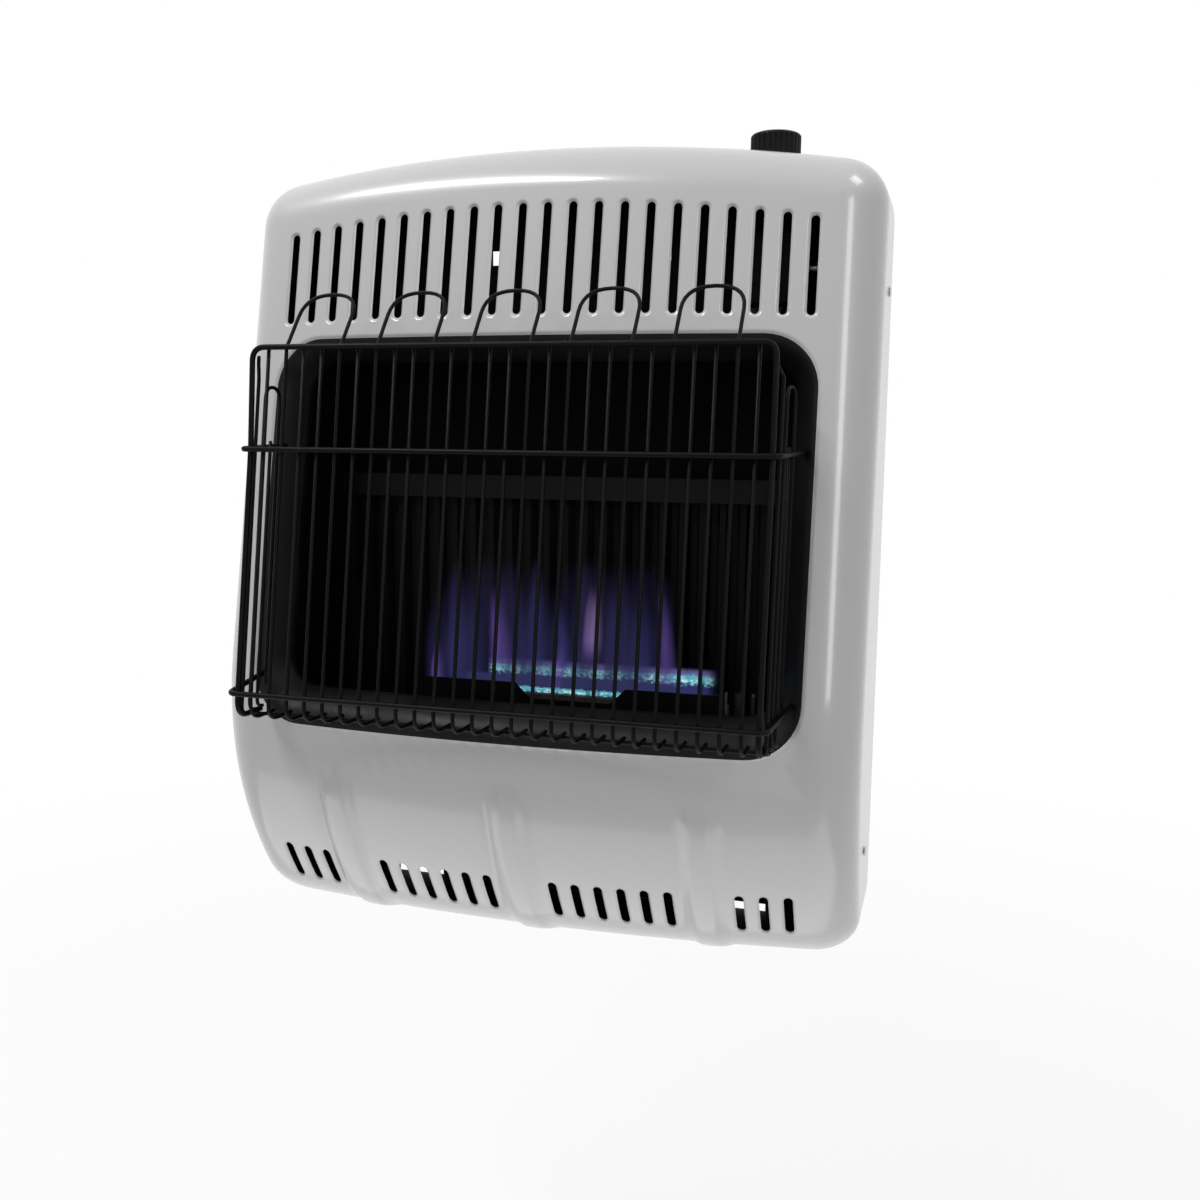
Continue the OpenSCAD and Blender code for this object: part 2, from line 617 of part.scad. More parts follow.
// The top rail's ends turn down into stiles, which pass behind the other rails to tails of their own
stile_x = guard_half_w - stile_in;
stile_back = rail_d * sqrt(1 + guard_lean * guard_lean) + seat;
stile_bend = 10;
stile_foot_z = tail_z + (rail_d - wire_d) / 2;
function stile_point(s, z) = [s * stile_x, rail_y(z) + stile_back, z];
function stile(s) = [[s * stile_x, rail_y(rail_top_z), rail_top_z], stile_point(s, rail_mid_z),
    stile_point(s, stile_foot_z), [s * stile_x, tail_y, stile_foot_z]];
module guard_top_rail() {
    color("black") tube(rounded_path(concat(reversed(stile(-1)), stile(1)),
            [tail_bend, tail_bend, stile_bend, stile_bend, tail_bend, tail_bend]), rail_d);
}
module guard_rear_rail() {
    z = tail_z - wire_d - eps;
    y = tail_y - wire_d;
    color("black") tube([[-stile_x - rail_d, y, z], [0, y, z], [stile_x + rail_d, y, z]], wire_d);
}
function wire_foot(x) = [[x, tail_y, tail_z], [x, wire_y(tail_z), tail_z]];
module guard_uprights() {
    color("black") for (i = [0:wire_count - 1]) if (i % 5 == 0 || i % 5 == 2 || i % 5 == 3)
        tube(rounded_path(concat(wire_foot(wire_x(i)), [[wire_x(i), wire_y(rail_top_z), rail_top_z]]),
                tail_bend), wire_d, 6);
}
hoop_bend = 12;
hoop_top_bend = 1.5 * wire_pitch - 0.5;
hoop_bends = [tail_bend, hoop_bend, hoop_top_bend, hoop_top_bend, hoop_bend, tail_bend];
module guard_hoops() {
    color("black") for (h = [0:hoop_count - 1]) {
        x0 = wire_x(5 * h + 1);
        x1 = wire_x(5 * h + 4);
        z = rail_top_z;
        y = wire_y(z);
        arch = [[x0, y, z], [x0, y + hoop_back, z + hoop_rise], [x1, y + hoop_back, z + hoop_rise],
            [x1, y, z]];
        tube(rounded_path(concat(wire_foot(x0), arch, reversed(wire_foot(x1))), hoop_bends), wire_d, 6);
    }
}
// Wires in each side of the guard, at whole side pitches behind the uprights: one that steps forward
// to the top rail, a loop, and a short one inside the loop. They touch the rails' returns from inside.
side_in = (rail_d + wire_d) / 2 + 5 * eps;
return_l = plug_y(rail_mid_z) - rail_y(rail_mid_z);
function side_wire_x(d) = guard_half_w - side_in + plug_out * (d + wire_back) / return_l;
function side_point(s, d, z) = [s * side_wire_x(d), wire_y(z) + d, z];
side_tail = 9;
side_bend = 7;
function side_foot(s, d) = [[s * side_wire_x(d), wire_y(tail_z) + d + side_tail, tail_z],
    side_point(s, d, tail_z)];
loop_top_z = rail_mid_z + 47;
loop_low_z = rail_low_z - 4;
short_top_z = rail_mid_z + 6;
// The step of the first wire, and its upper end behind the top rail's bend
step_z = rail_top_z - 23;
step_h = 12;
step_x = stile_x - 2;
step_end_z = rail_top_z - 6;
step_bend = 6;
loop_bend = side_pitch - 0.75;
function step_wire(s) = concat(side_foot(s, side_pitch), [side_point(s, side_pitch, step_z),
    [s * step_x, wire_y(step_z + step_h) + stile_back / 2, step_z + step_h],
    [s * step_x, wire_y(step_end_z) + stile_back / 2, step_end_z]]);
function side_loop(s) = concat(side_foot(s, 2 * side_pitch), [side_point(s, 2 * side_pitch, loop_top_z),
    side_point(s, 4 * side_pitch, loop_top_z), side_point(s, 4 * side_pitch, loop_low_z)]);
function short_wire(s) = concat(side_foot(s, 3 * side_pitch), [side_point(s, 3 * side_pitch, short_top_z)]);
module guard_side_wires() {
    color("black") for (s = [-1, 1]) {
        tube(rounded_path(step_wire(s), [side_bend, step_bend, step_bend]), wire_d, 6);
        tube(rounded_path(side_loop(s), [side_bend, loop_bend, loop_bend]), wire_d, 6);
        tube(rounded_path(short_wire(s), side_bend), wire_d, 6);
    }
}

// Burner with two rows of ports, its front plate, venturi and injector
burner_x0 = burner_x - burner_l / 2;
burner_wall = 1.2;
burner_front = -burner_y - burner_w / 2;
port_len = 9;
port_margin = 10;
port_gap = (burner_l - 2 * port_margin) / (port_count - 1);
port_w = 3;
module burner_box() {
    color("dimgray") difference() {
        translate([burner_x0, burner_front, burner_z - burner_h]) cube([burner_l, burner_w, burner_h]);
        translate([burner_x0 + burner_wall, burner_front + burner_wall,
                burner_z - burner_h + burner_wall])
            cube([burner_l - 2 * burner_wall, burner_w - 2 * burner_wall, burner_h - 2 * burner_wall]);
        for (row = [-1, 1]) for (i = [0:port_count - 1])
            translate([burner_x0 + port_margin + i * port_gap - port_w / 2,
                    -burner_y + row * burner_w * 0.28 - port_len / 2, burner_z - burner_wall - 1])
                cube([port_w, port_len, burner_wall + 2]);
        translate([burner_x, -burner_y, burner_z - burner_h - 1])
            cylinder(d = venturi_d - 2 * venturi_wall, h = burner_wall + 2);
    }
}
plate_half = burner_l / 2 + 8;
notch_half = 32;
notch_slope = 12;
notch_drop = 12;
plate_top = burner_z + 8;
module burner_front_plate() {
    color("black") translate([burner_x, burner_front - seat, 0]) rotate([90, 0, 0])
        linear_extrude(box_sheet)
            polygon([[-plate_half, floor_z], [plate_half, floor_z], [plate_half, plate_top],
                [notch_half + notch_slope, plate_top], [notch_half, plate_top - notch_drop],
                [-notch_half, plate_top - notch_drop], [-notch_half - notch_slope, plate_top],
                [-plate_half, plate_top]]);
}
venturi_l = 150;
venturi_wall = 2;
mouth_l = 22;
mouth_d = venturi_d + 14;
module venturi() {
    color("silver") difference() {
        union() {
            translate([burner_x, -burner_y, venturi_z]) rotate([0, -90, 0])
                cylinder(d = venturi_d, h = venturi_l);
            translate([burner_x - venturi_l, -burner_y, venturi_z]) rotate([0, -90, 0])
                cylinder(d1 = venturi_d, d2 = mouth_d, h = mouth_l);
            translate([burner_x, -burner_y, venturi_z])
                cylinder(d = venturi_d, h = burner_z - burner_h - venturi_z);
            translate([burner_x, -burner_y, venturi_z]) sphere(d = venturi_d);
        }
        translate([burner_x, -burner_y, venturi_z]) rotate([0, -90, 0])
            cylinder(d = venturi_d - 2 * venturi_wall, h = venturi_l + eps);
        translate([burner_x - venturi_l, -burner_y, venturi_z]) rotate([0, -90, 0])
            cylinder(d1 = venturi_d - 2 * venturi_wall, d2 = mouth_d - 2 * venturi_wall,
                    h = mouth_l + eps);
        translate([burner_x, -burner_y, venturi_z])
            cylinder(d = venturi_d - 2 * venturi_wall, h = burner_z);
    }
}
injector_x = burner_x - venturi_l - mouth_l - 4;
injector_l = 26;
injector_tip = 8;
injector_bore = 1.4;
module injector() {
    color("goldenrod") translate([injector_x, -burner_y, venturi_z]) rotate([0, -90, 0]) difference() {
        union() {
            cylinder(d1 = injector_d * 0.55, d2 = injector_d * 0.8, h = injector_tip);
            translate([0, 0, injector_tip]) cylinder(d = injector_d, h = injector_l - injector_tip);
        }
        translate([0, 0, -1]) cylinder(d = injector_bore, h = injector_l);
    }
}
holder_drop = 16;
module injector_bracket() {
    plate_x = injector_x - injector_l / 2;
    color("dimgray") difference() {
        translate([plate_x - box_sheet, -burner_y - injector_d, venturi_z - holder_drop])
            cube([box_sheet, 2 * injector_d, floor_z - box_sheet - venturi_z + holder_drop]);
        translate([plate_x - box_sheet - 1, -burner_y, venturi_z]) rotate([0, 90, 0])
            cylinder(d = injector_d + 2 * stem_gap, h = box_sheet + 2);
    }
}

// Pilot group at the burner's right end
pilot_top = burner_z + 6;
bracket_z = floor_z + 22;
module pilot_bracket() {
    x0 = pilot_xs[0] - 4;
    x1 = pilot_xs[2] + 9;
    color("silver") {
        difference() {
            translate([x0, -burner_y - 8, bracket_z]) cube([x1 - x0, 16, box_sheet]);
            translate([pilot_xs[0], -burner_y, bracket_z - 1]) cylinder(d = ceramic_d + 2 * stem_gap,
                    h = box_sheet + 2);
            translate([pilot_xs[1], -burner_y, bracket_z - 1]) cylinder(d = pilot_d + 2 * stem_gap,
                    h = box_sheet + 2);
            translate([pilot_xs[2], -burner_y, bracket_z - 1]) cylinder(d = thermo_d + 2 * stem_gap,
                    h = box_sheet + 2);
        }
        translate([x1 - box_sheet, -burner_y - 8, floor_z]) cube([box_sheet, 16, bracket_z - floor_z]);
    }
}
pilot_base = bracket_z - 8;
module pilot_burner() {
    color("goldenrod") translate([pilot_xs[1], -burner_y, 0]) difference() {
        translate([0, 0, pilot_base]) cylinder(d = pilot_d, h = pilot_top - pilot_base);
        translate([0, 0, pilot_base + 12]) cylinder(d = pilot_d - 2.4, h = pilot_top - pilot_base);
        translate([-pilot_d, -1.5, pilot_top - 12]) cube([pilot_d, 3, 6]);
    }
}
module thermocouple() {
    color("silver") translate([pilot_xs[2], -burner_y, 0]) {
        translate([0, 0, pilot_base]) cylinder(d = thermo_d, h = pilot_top - pilot_base - 2);
        translate([0, 0, pilot_top - 2]) sphere(d = thermo_d);
    }
}
module igniter_electrode() {
    color("ivory") translate([pilot_xs[0], -burner_y, 0]) {
        translate([0, 0, pilot_base]) cylinder(d = ceramic_d, h = pilot_top - pilot_base - 10);
        translate([0, 0, pilot_top - 10]) cylinder(d = 2, h = 10);
    }
}
// Each lead drops through the floor, runs back and climbs behind the shield to the valve
function lead_path(x, low_z, rear_y) = [[x, -burner_y, pilot_base - eps], [x, -burner_y, low_z], [x,
        rear_y, low_z], [x, rear_y, valve_z - eps]];
lead_bend = 12;
lead_low_z = floor_z - 15;
lead_rear_y = -15;
module pilot_tube() { color("silver") tube(rounded_path(lead_path(pilot_xs[1], lead_low_z, lead_rear_y),
        lead_bend), lead_d); }
module thermocouple_lead() { color("peru") tube(rounded_path(lead_path(pilot_xs[2], lead_low_z,
        lead_rear_y), lead_bend), lead_d); }
module ignition_lead() { color("orange") tube(rounded_path(lead_path(pilot_xs[0], lead_low_z,
        lead_rear_y), lead_bend), lead_d); }

// Gas valve under the knob
valve_x0 = knob_x - valve_w / 2;
valve_y0 = -knob_y - valve_depth / 2;
valve_top = valve_z + valve_h;
boss_d = 22;
boss_h = 10;
stem_deep = 24;
module gas_valve() {
    color("silver") difference() {
        union() {
            translate([valve_x0, valve_y0, valve_z]) cube([valve_w, valve_depth, valve_h]);
            translate([knob_x, -knob_y, valve_top]) cylinder(d = boss_d, h = boss_h);
        }
        translate([knob_x, -knob_y, valve_top + boss_h - stem_deep - push_travel - 1])
            cylinder(d = stem_d + 2 * stem_gap, h = stem_deep + push_travel + 2);
    }
}
module valve_bracket() {
    rear = valve_y0 + valve_depth;
    color("dimgray") {
        translate([valve_x0 + 8, -box_sheet - 2, valve_z - 4]) cube([valve_w - 16, 2, valve_h + 8]);
        for (z = [valve_z + 6, valve_top - 10]) translate([valve_x0 + 8, rear, z]) cube([valve_w - 16,
                -box_sheet - 2 - rear, 4]);
    }
}
collar_h = 3;
collar_d = 18;
knob_z0 = knob_top_z - knob_h;
collar_z = knob_z0 - 6;
spring_z = valve_top + boss_h;
module valve_stem() {
    z0 = spring_z - stem_deep;
    color("silver") {
        translate([knob_x, -knob_y, z0]) cylinder(d = stem_d, h = knob_top_z - knob_roof - eps - z0);
        translate([knob_x, -knob_y, collar_z + collar_h]) cylinder(d = stem_d + 4,
                h = knob_z0 - collar_z - collar_h - eps);
    }
}
module push_collar() {
    color("silver") translate([knob_x, -knob_y, collar_z - eps]) difference() {
        cylinder(d = collar_d, h = collar_h);
        translate([0, 0, -1]) cylinder(d = stem_d + 2 * stem_gap, h = collar_h + 2);
    }
}
spring_mid_d = 14;
spring_rings = 8;
spring_len = collar_z - spring_z - 4 * eps;
module return_spring() {
    n = spring_turns * spring_rings;
    color("silver") tube([for (i = [0:n]) let (a = 360 * i / spring_rings)
        [knob_x + spring_mid_d / 2 * cos(a), -knob_y + spring_mid_d / 2 * sin(a),
                spring_z + 2 * eps + spring_wire * 0.55 + (spring_len - 1.1 * spring_wire) * i / n]],
                spring_wire, 6);
}
grip_h = 1;
cap_h = 3;
knob_roof = 8;
grip_step = 360 / knob_ribs;
function grip_r(k) = knob_d / 2 - (k < 2 ? 0 : grip_h);
module control_knob() {
    color("black") translate([knob_x, -knob_y, knob_z0]) difference() {
        union() {
            linear_extrude(knob_h - cap_h)
                polygon([for (i = [0:knob_ribs - 1]) for (k = [0:3])
                    let (a = grip_step * (i + 0.1 + 0.27 * k)) grip_r(k) * [cos(a), sin(a)]]);
            translate([0, 0, knob_h - cap_h]) cylinder(r1 = knob_d / 2 - 1.6, r2 = knob_d / 2 - 4,
                    h = cap_h);
        }
        translate([0, 0, -1]) cylinder(d = stem_d + 2 * stem_gap, h = knob_h - knob_roof + 1);
    }
}

// Regulator and pipes
regulator_y = -35;
regulator_h = 26;
inlet_body_d = 24;
inlet_body_h = 24;
// Entry for the gas line in the bottom of the case, around the gas inlet
entry_clear = 3;
entry_reach = 20;
entry_x0 = regulator_x - inlet_body_d / 2 - entry_clear;
entry_x1 = min(regulator_x + inlet_body_d / 2 + entry_clear, half_w - roll_r / 2);
regulator_z = inlet_z + inlet_body_h;
regulator_top = regulator_z + regulator_h;
outlet_h = 12;
module regulator() {
    color("silver") translate([regulator_x, regulator_y, 0]) difference() {
        union() {
            translate([0, 0, inlet_z]) cylinder(d = inlet_body_d, h = inlet_body_h);
            translate([0, 0, regulator_z]) cylinder(d = regulator_d, h = regulator_h);
            translate([0, 0, regulator_top]) cylinder(d = pipe_d + 6, h = outlet_h);
        }
        translate([0, 0, inlet_z - 1]) cylinder(r = inlet_r, h = inlet_depth + 1);
    }
}
module regulator_bracket() {
    rear = regulator_y + regulator_d / 2;
    strap_z = regulator_z + regulator_h / 2 - 6;
    color("dimgray") {
        translate([regulator_x - 16, -box_sheet - 2, strap_z - 8]) cube([32, 2, 28]);
        translate([regulator_x - 10, rear + seat, strap_z]) cube([20, -box_sheet - 2 - rear - seat, 12]);
    }
}
supply_z = valve_z + valve_h / 2;
pipe_bend = 14;
module supply_pipe() {
    color("silver") tube(rounded_path([[regulator_x, regulator_y, regulator_top + outlet_h + eps],
        [regulator_x, regulator_y, supply_z], [valve_x0 + valve_w + eps, regulator_y, supply_z]],
        pipe_bend), pipe_d);
}
manifold_x = box_half_w - pipe_d / 2 - 4;
manifold_y = -19;
module manifold_pipe() {
    entry_x = injector_x - injector_l - eps;
    turn_x = entry_x - 3 * pipe_d;
    color("silver") tube(rounded_path([[manifold_x, manifold_y, valve_z - eps],
        [manifold_x, manifold_y, venturi_z], [turn_x, manifold_y, venturi_z],
        [turn_x, -burner_y, venturi_z], [entry_x, -burner_y, venturi_z]], pipe_bend), pipe_d);
}

// Thermostat bulb on the back panel
bulb_y = -12;
bulb_x1 = 132;
module thermostat_bulb() {
    color("silver") translate([bulb_x1 - bulb_l, bulb_y, bulb_z]) rotate([0, 90, 0])
        cylinder(d = bulb_d, h = bulb_l);
}
clip_w = 8;
module bulb_clips() {
    color("dimgray") for (x = [bulb_x1 - bulb_l + 10, bulb_x1 - 10 - clip_w]) difference() {
        translate([x, bulb_y - bulb_d / 2 - 2, bulb_z - bulb_d / 2 - 2]) cube([clip_w,
                -box_sheet - bulb_y + bulb_d / 2 + 2, bulb_d + 4]);
        translate([x - 1, bulb_y, bulb_z]) rotate([0, 90, 0]) cylinder(d = bulb_d + 2 * stem_gap,
                h = clip_w + 2);
    }
}
capillary_d = 2.4;
capillary_bend = 8;
capillary_x = valve_x0 + 4;
module capillary() {
    color("peru") tube(rounded_path([[capillary_x, bulb_y, valve_z - eps],
        [capillary_x, bulb_y, bulb_z], [bulb_x1 + eps, bulb_y, bulb_z]], capillary_bend), capillary_d, 6);
}

// Pan head screws through the sides of the case
module case_screws() {
    color("silver") for (s = [-1, 1]) for (p = screw_spots)
        translate([s * side_x(p[0] - screw_head_d / 2, p[1]), -p[0], p[1]]) rotate([0, s * 90, 0]) {
        translate([0, 0, head_gap]) cylinder(d1 = screw_head_d, d2 = screw_head_d - 2, h = screw_head_h);
        translate([0, 0, -screw_l]) cylinder(d = screw_d, h = screw_l + head_gap + eps);
    }
}

outer_case();
back_panel();
opening_frame();
firebox_left_wall();
firebox_right_wall();
firebox_floor();
firebox_hood();
firebox_back();
rear_shield();
baffle_bar();
guard_top_rail();
guard_middle_rail();
guard_bottom_rail();
guard_rear_rail();
guard_uprights();
guard_hoops();
guard_side_wires();
burner_box();
burner_front_plate();
venturi();
injector();
injector_bracket();
pilot_bracket();
pilot_burner();
thermocouple();
igniter_electrode();
pilot_tube();
thermocouple_lead();
ignition_lead();
gas_valve();
valve_bracket();
valve_stem();
push_collar();
return_spring();
control_knob();
regulator();
regulator_bracket();
supply_pipe();
manifold_pipe();
thermostat_bulb();
bulb_clips();
capillary();
case_screws();
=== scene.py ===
import bpy
import math
import numpy as np
from mathutils import Matrix, Vector
from mathutils.geometry import delaunay_2d_cdt


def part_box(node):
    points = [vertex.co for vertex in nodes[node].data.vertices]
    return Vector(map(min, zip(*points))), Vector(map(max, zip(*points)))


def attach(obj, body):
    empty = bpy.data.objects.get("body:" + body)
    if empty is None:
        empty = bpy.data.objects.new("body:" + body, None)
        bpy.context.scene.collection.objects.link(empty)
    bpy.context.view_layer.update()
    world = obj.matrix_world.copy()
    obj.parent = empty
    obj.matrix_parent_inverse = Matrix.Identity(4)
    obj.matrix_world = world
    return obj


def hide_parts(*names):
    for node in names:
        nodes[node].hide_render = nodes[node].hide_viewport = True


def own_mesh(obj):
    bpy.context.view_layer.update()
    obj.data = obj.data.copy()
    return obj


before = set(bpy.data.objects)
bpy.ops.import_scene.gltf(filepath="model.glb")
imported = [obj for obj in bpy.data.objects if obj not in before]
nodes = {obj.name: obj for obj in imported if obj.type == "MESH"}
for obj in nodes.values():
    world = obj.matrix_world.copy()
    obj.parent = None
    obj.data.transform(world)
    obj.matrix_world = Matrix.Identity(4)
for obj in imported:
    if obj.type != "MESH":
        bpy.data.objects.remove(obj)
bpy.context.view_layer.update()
scene = bpy.context.scene
mm = 0.001
tiny = 1e-9
print("frame:", len(nodes), "nodes")


# Shader values: arithmetic on sockets makes the math nodes
class Value:
    def __init__(self, tree, socket):
        self.tree = tree
        self.socket = socket

    def math(self, operation, first, second):
        node = self.tree.nodes.new("ShaderNodeMath")
        node.operation = operation
        for target, value in zip(node.inputs, (first, second)):
            feed(self.tree, target, value)
        return Value(self.tree, node.outputs[0])

    def __add__(self, other):
        return self.math("ADD", self, other)

    __radd__ = __add__

    def __sub__(self, other):
        return self.math("SUBTRACT", self, other)

    def __rsub__(self, other):
        return self.math("SUBTRACT", other, self)

    def __mul__(self, other):
        return self.math("MULTIPLY", self, other)

    __rmul__ = __mul__


def feed(tree, target, value):
    if isinstance(value, Value):
        tree.links.new(value.socket, target)
    else:
        target.default_value = value


# Sockets of the principled shader by short names
socketNames = dict(color="Base Color", roughness="Roughness", metallic="Metallic", normal="Normal",
                   coat="Coat Weight", coatRoughness="Coat Roughness", specular="Specular IOR Level",
                   alpha="Alpha", emission="Emission Color", strength="Emission Strength")


# A finish with its nodes: a new material, or the world that is given
class Finish:
    def __init__(self, name, world=None):
        self.owner = world or bpy.data.materials.new(name)
        self.owner.use_nodes = True
        self.tree = self.owner.node_tree
        self.tree.nodes.clear()

    # Any node: its type, its settings, then values or links for its sockets
    def node(self, kind, settings, sockets, out=0):
        made = self.tree.nodes.new(kind)
        for key, value in settings.items():
            setattr(made, key, value)
        for key, value in sockets.items():
            feed(self.tree, made.inputs[key], value)
        return Value(self.tree, made.outputs[out]) if made.outputs else None

    def place(self):
        return self.node("ShaderNodeTexCoord", {}, {}, "Object")

    def noise(self, scale, detail, vector=None):
        sockets = {"Vector": vector or self.place(), "Scale": scale, "Detail": detail}
        return self.node("ShaderNodeTexNoise", {}, sockets, "Fac")

    # Place stretched along the axes, for grain and runs
    def stretched(self, x, y, z):
        sockets = {0: self.place(), 1: (x, y, z)}
        return self.node("ShaderNodeVectorMath", {"operation": "MULTIPLY"}, sockets)

    def ramp(self, value, low, high):
        sockets = {"Value": value, "From Min": low, "From Max": high}
        return self.node("ShaderNodeMapRange", {"interpolation_type": "SMOOTHSTEP"}, sockets)

    def mix(self, factor, first, second):
        sockets = {0: factor, 6: (*first, 1.0) if isinstance(first, tuple) else first,
                   7: (*second, 1.0) if isinstance(second, tuple) else second}
        return self.node("ShaderNodeMix", {"data_type": "RGBA"}, sockets, 2)

    def bump(self, height, strength, distance):
        sockets = {"Height": height, "Strength": strength, "Distance": distance}
        return self.node("ShaderNodeBump", {}, sockets)

    def done(self, **values):
        sockets = {socketNames[key]: value for key, value in values.items()}
        return self.surface(self.node("ShaderNodeBsdfPrincipled", {}, sockets))

    def surface(self, shader, output="ShaderNodeOutputMaterial"):
        self.node(output, {}, {"Surface": shader})
        return self.owner

    # One where the camera looks straight, or by a reflection or through glass
    def direct(self):
        rays = [self.node("ShaderNodeLightPath", {}, {}, name)
                for name in ("Is Camera Ray", "Is Glossy Ray", "Is Transmission Ray")]
        return self.node("ShaderNodeClamp", {}, {"Value": rays[0] + rays[1] + rays[2]})

    # Places on a sheet: across it and up it
    def sheet(self):
        corner = self.node("ShaderNodeTexCoord", {}, {}, "UV")
        return [self.node("ShaderNodeSeparateXYZ", {}, {0: corner}, axis) for axis in ("X", "Y")]

    # Light of its own that lets what is behind it through
    def glow(self, color, alpha):
        return self.done(color=(0.0, 0.0, 0.0, 1.0), specular=0.0, roughness=1.0, emission=color,
                         strength=1.0, alpha=alpha)


# Gloss enamel of the case: faint orange peel, slight handling marks
def caseEnamel():
    made = Finish("caseEnamel")
    cloud = made.noise(5.0, 0.0)
    speck = made.noise(900.0, 1.0)
    peel = made.noise(260.0, 1.0)
    tone = made.mix(cloud, (0.464, 0.464, 0.465), (0.476, 0.476, 0.477))
    return made.done(color=tone, roughness=0.24 + 0.02 * cloud + 0.02 * speck, coat=0.4,
                     coatRoughness=0.08, normal=made.bump(peel, 0.03, 0.0003))


# Inside of the case near black as painted shade, over a thin primer that is patchy where it was sprayed
def casePrimerAndShade():
    made = Finish("casePrimerAndShade")
    patch = made.ramp(made.noise(18.0, 5.0), 0.35, 0.7)
    grain = made.noise(700.0, 2.0)
    # near-black tone: painted shade for the inside of the case
    tone = made.mix(patch, (0.022, 0.022, 0.023), (0.034, 0.034, 0.035))
    return made.done(color=tone, roughness=0.6 + 0.15 * patch, specular=0.1,
                     normal=made.bump(grain, 0.1, 0.0004))


# Black enamel: satin, with a fine grain; warmth is how far heat has browned it
def blackEnamel(name, base, rough, warmth, shine):
    made = Finish(name)
    low, high = rough
    patch = made.ramp(made.noise(14.0, 5.0), 0.35, 0.7)
    grain = made.noise(900.0, 2.0)
    burnt = (base * 1.5 + warmth, base * 1.35 + warmth * 0.7, base * 1.3 + warmth * 0.5)
    tone = made.mix(patch, (base, base, base * 1.04), burnt)
    return made.done(color=tone, roughness=low + (high - low) * patch + 0.06 * grain,
                     specular=shine, normal=made.bump(grain, 0.12, 0.0004))


def knobPlastic():
    made = Finish("knobPlastic")
    grain = made.noise(1500.0, 2.0)
    wear = made.ramp(made.noise(90.0, 4.0), 0.5, 0.75)
    tone = made.mix(wear, (0.0035, 0.0035, 0.0037), (0.006, 0.006, 0.0063))
    return made.done(color=tone, roughness=0.38 + 0.12 * grain, specular=0.1,
                     normal=made.bump(grain, 0.15, 0.0003))


# Zinc spangle on sheet steel; where depths are given, the sheet is near black in front as painted shade
# and turns to bare zinc between those depths
def galvanised(name, shadeToBare=None):
    made = Finish(name)
    cells = made.node("ShaderNodeTexVoronoi", {}, {"Vector": made.place(), "Scale": 130.0}, "Color")
    spangle = made.node("ShaderNodeSeparateColor", {}, {0: cells})
    dull = made.noise(25.0, 5.0)
    # zinc darker than bare zinc: painted shade for the dim inside of the heater
    tone = made.mix(spangle, (0.16, 0.165, 0.17), (0.25, 0.255, 0.265))
    metallic = 0.85
    # front of the sheet near black: painted shade where light does not reach
    if shadeToBare:
        depth = made.node("ShaderNodeSeparateXYZ", {}, {0: made.place()}, "Y")
        zinc = made.ramp(depth, *shadeToBare)
        tone = made.mix(zinc, (0.006, 0.006, 0.0062), tone)
        metallic = 0.85 * zinc
    return made.done(color=tone, metallic=metallic, roughness=0.34 + 0.14 * spangle + 0.08 * dull,
                     specular=0.1, normal=made.bump(dull, 0.08, 0.0005))


# Steel of the burner, tinted straw to blue by heat and blackened by soot in patches
def burnerSteel():
    made = Finish("burnerSteel")
    heat = made.ramp(made.noise(28.0, 4.0), 0.3, 0.72)
    blackened = made.noise(160.0, 5.0)
    tint = made.mix(heat, (0.036, 0.027, 0.021), (0.020, 0.022, 0.034))
    tone = made.mix(made.ramp(blackened, 0.5, 0.75), tint, (0.008, 0.008, 0.0085))
    return made.done(color=tone, metallic=0.8, roughness=0.42 + 0.2 * blackened,
                     normal=made.bump(blackened, 0.15, 0.0004))


# Bare metals: drawn or turned grain, which stretch draws out along one axis
def bareMetal(name, dark, light, roughness, stretch):
    made = Finish(name)
    grain = made.noise(1.0, 4.0, made.stretched(*stretch))
    stain = made.ramp(made.noise(40.0, 4.0), 0.45, 0.75)
    tone = made.mix(0.6 * grain + 0.3 * stain, dark, light)
    return made.done(color=tone, metallic=0.95, roughness=roughness + 0.12 * grain + 0.1 * stain,
                     normal=made.bump(grain, 0.1, 0.0003))


def leadRubber():
    made = Finish("leadRubber")
    grain = made.noise(700.0, 3.0)
    tone = made.mix(grain, (0.40, 0.12, 0.025), (0.50, 0.17, 0.04))
    return made.done(color=tone, roughness=0.5 + 0.15 * grain, normal=made.bump(grain, 0.2, 0.0003))


# Ceramic of the electrode, grey with soot
def ceramic():
    made = Finish("ceramic")
    speck = made.ramp(made.noise(400.0, 4.0), 0.55, 0.7)
    tone = made.mix(speck, (0.075, 0.07, 0.062), (0.03, 0.028, 0.025))
    return made.done(color=tone, roughness=0.35 + 0.2 * speck, normal=made.bump(speck, 0.1, 0.0003))


# Flame: colour by height, soft at its sides, torn at its tip; rise is how far its foot fades in
def flameLight(name, foot, body, side, rise, hold, share):
    made = Finish(name)
    across, up = made.sheet()
    streak = made.noise(1.0, 3.0, made.stretched(75.0, 40.0, 7.0))
    torn = made.noise(1.0, 2.0, made.stretched(34.0, 30.0, 5.0))
    edge = made.ramp(across, 0.0, side) * made.ramp(across, 1.0, 1.0 - side)
    ends = made.ramp(up + 0.9 * (torn - 0.5), 0.95, hold) * made.ramp(up, 1.0, 0.8)
    alpha = share * edge * ends * made.ramp(up, 0.0, rise) * (0.35 + 0.65 * made.ramp(streak, 0.3, 0.7))
    return made.glow(made.mix(up, foot, body), alpha)


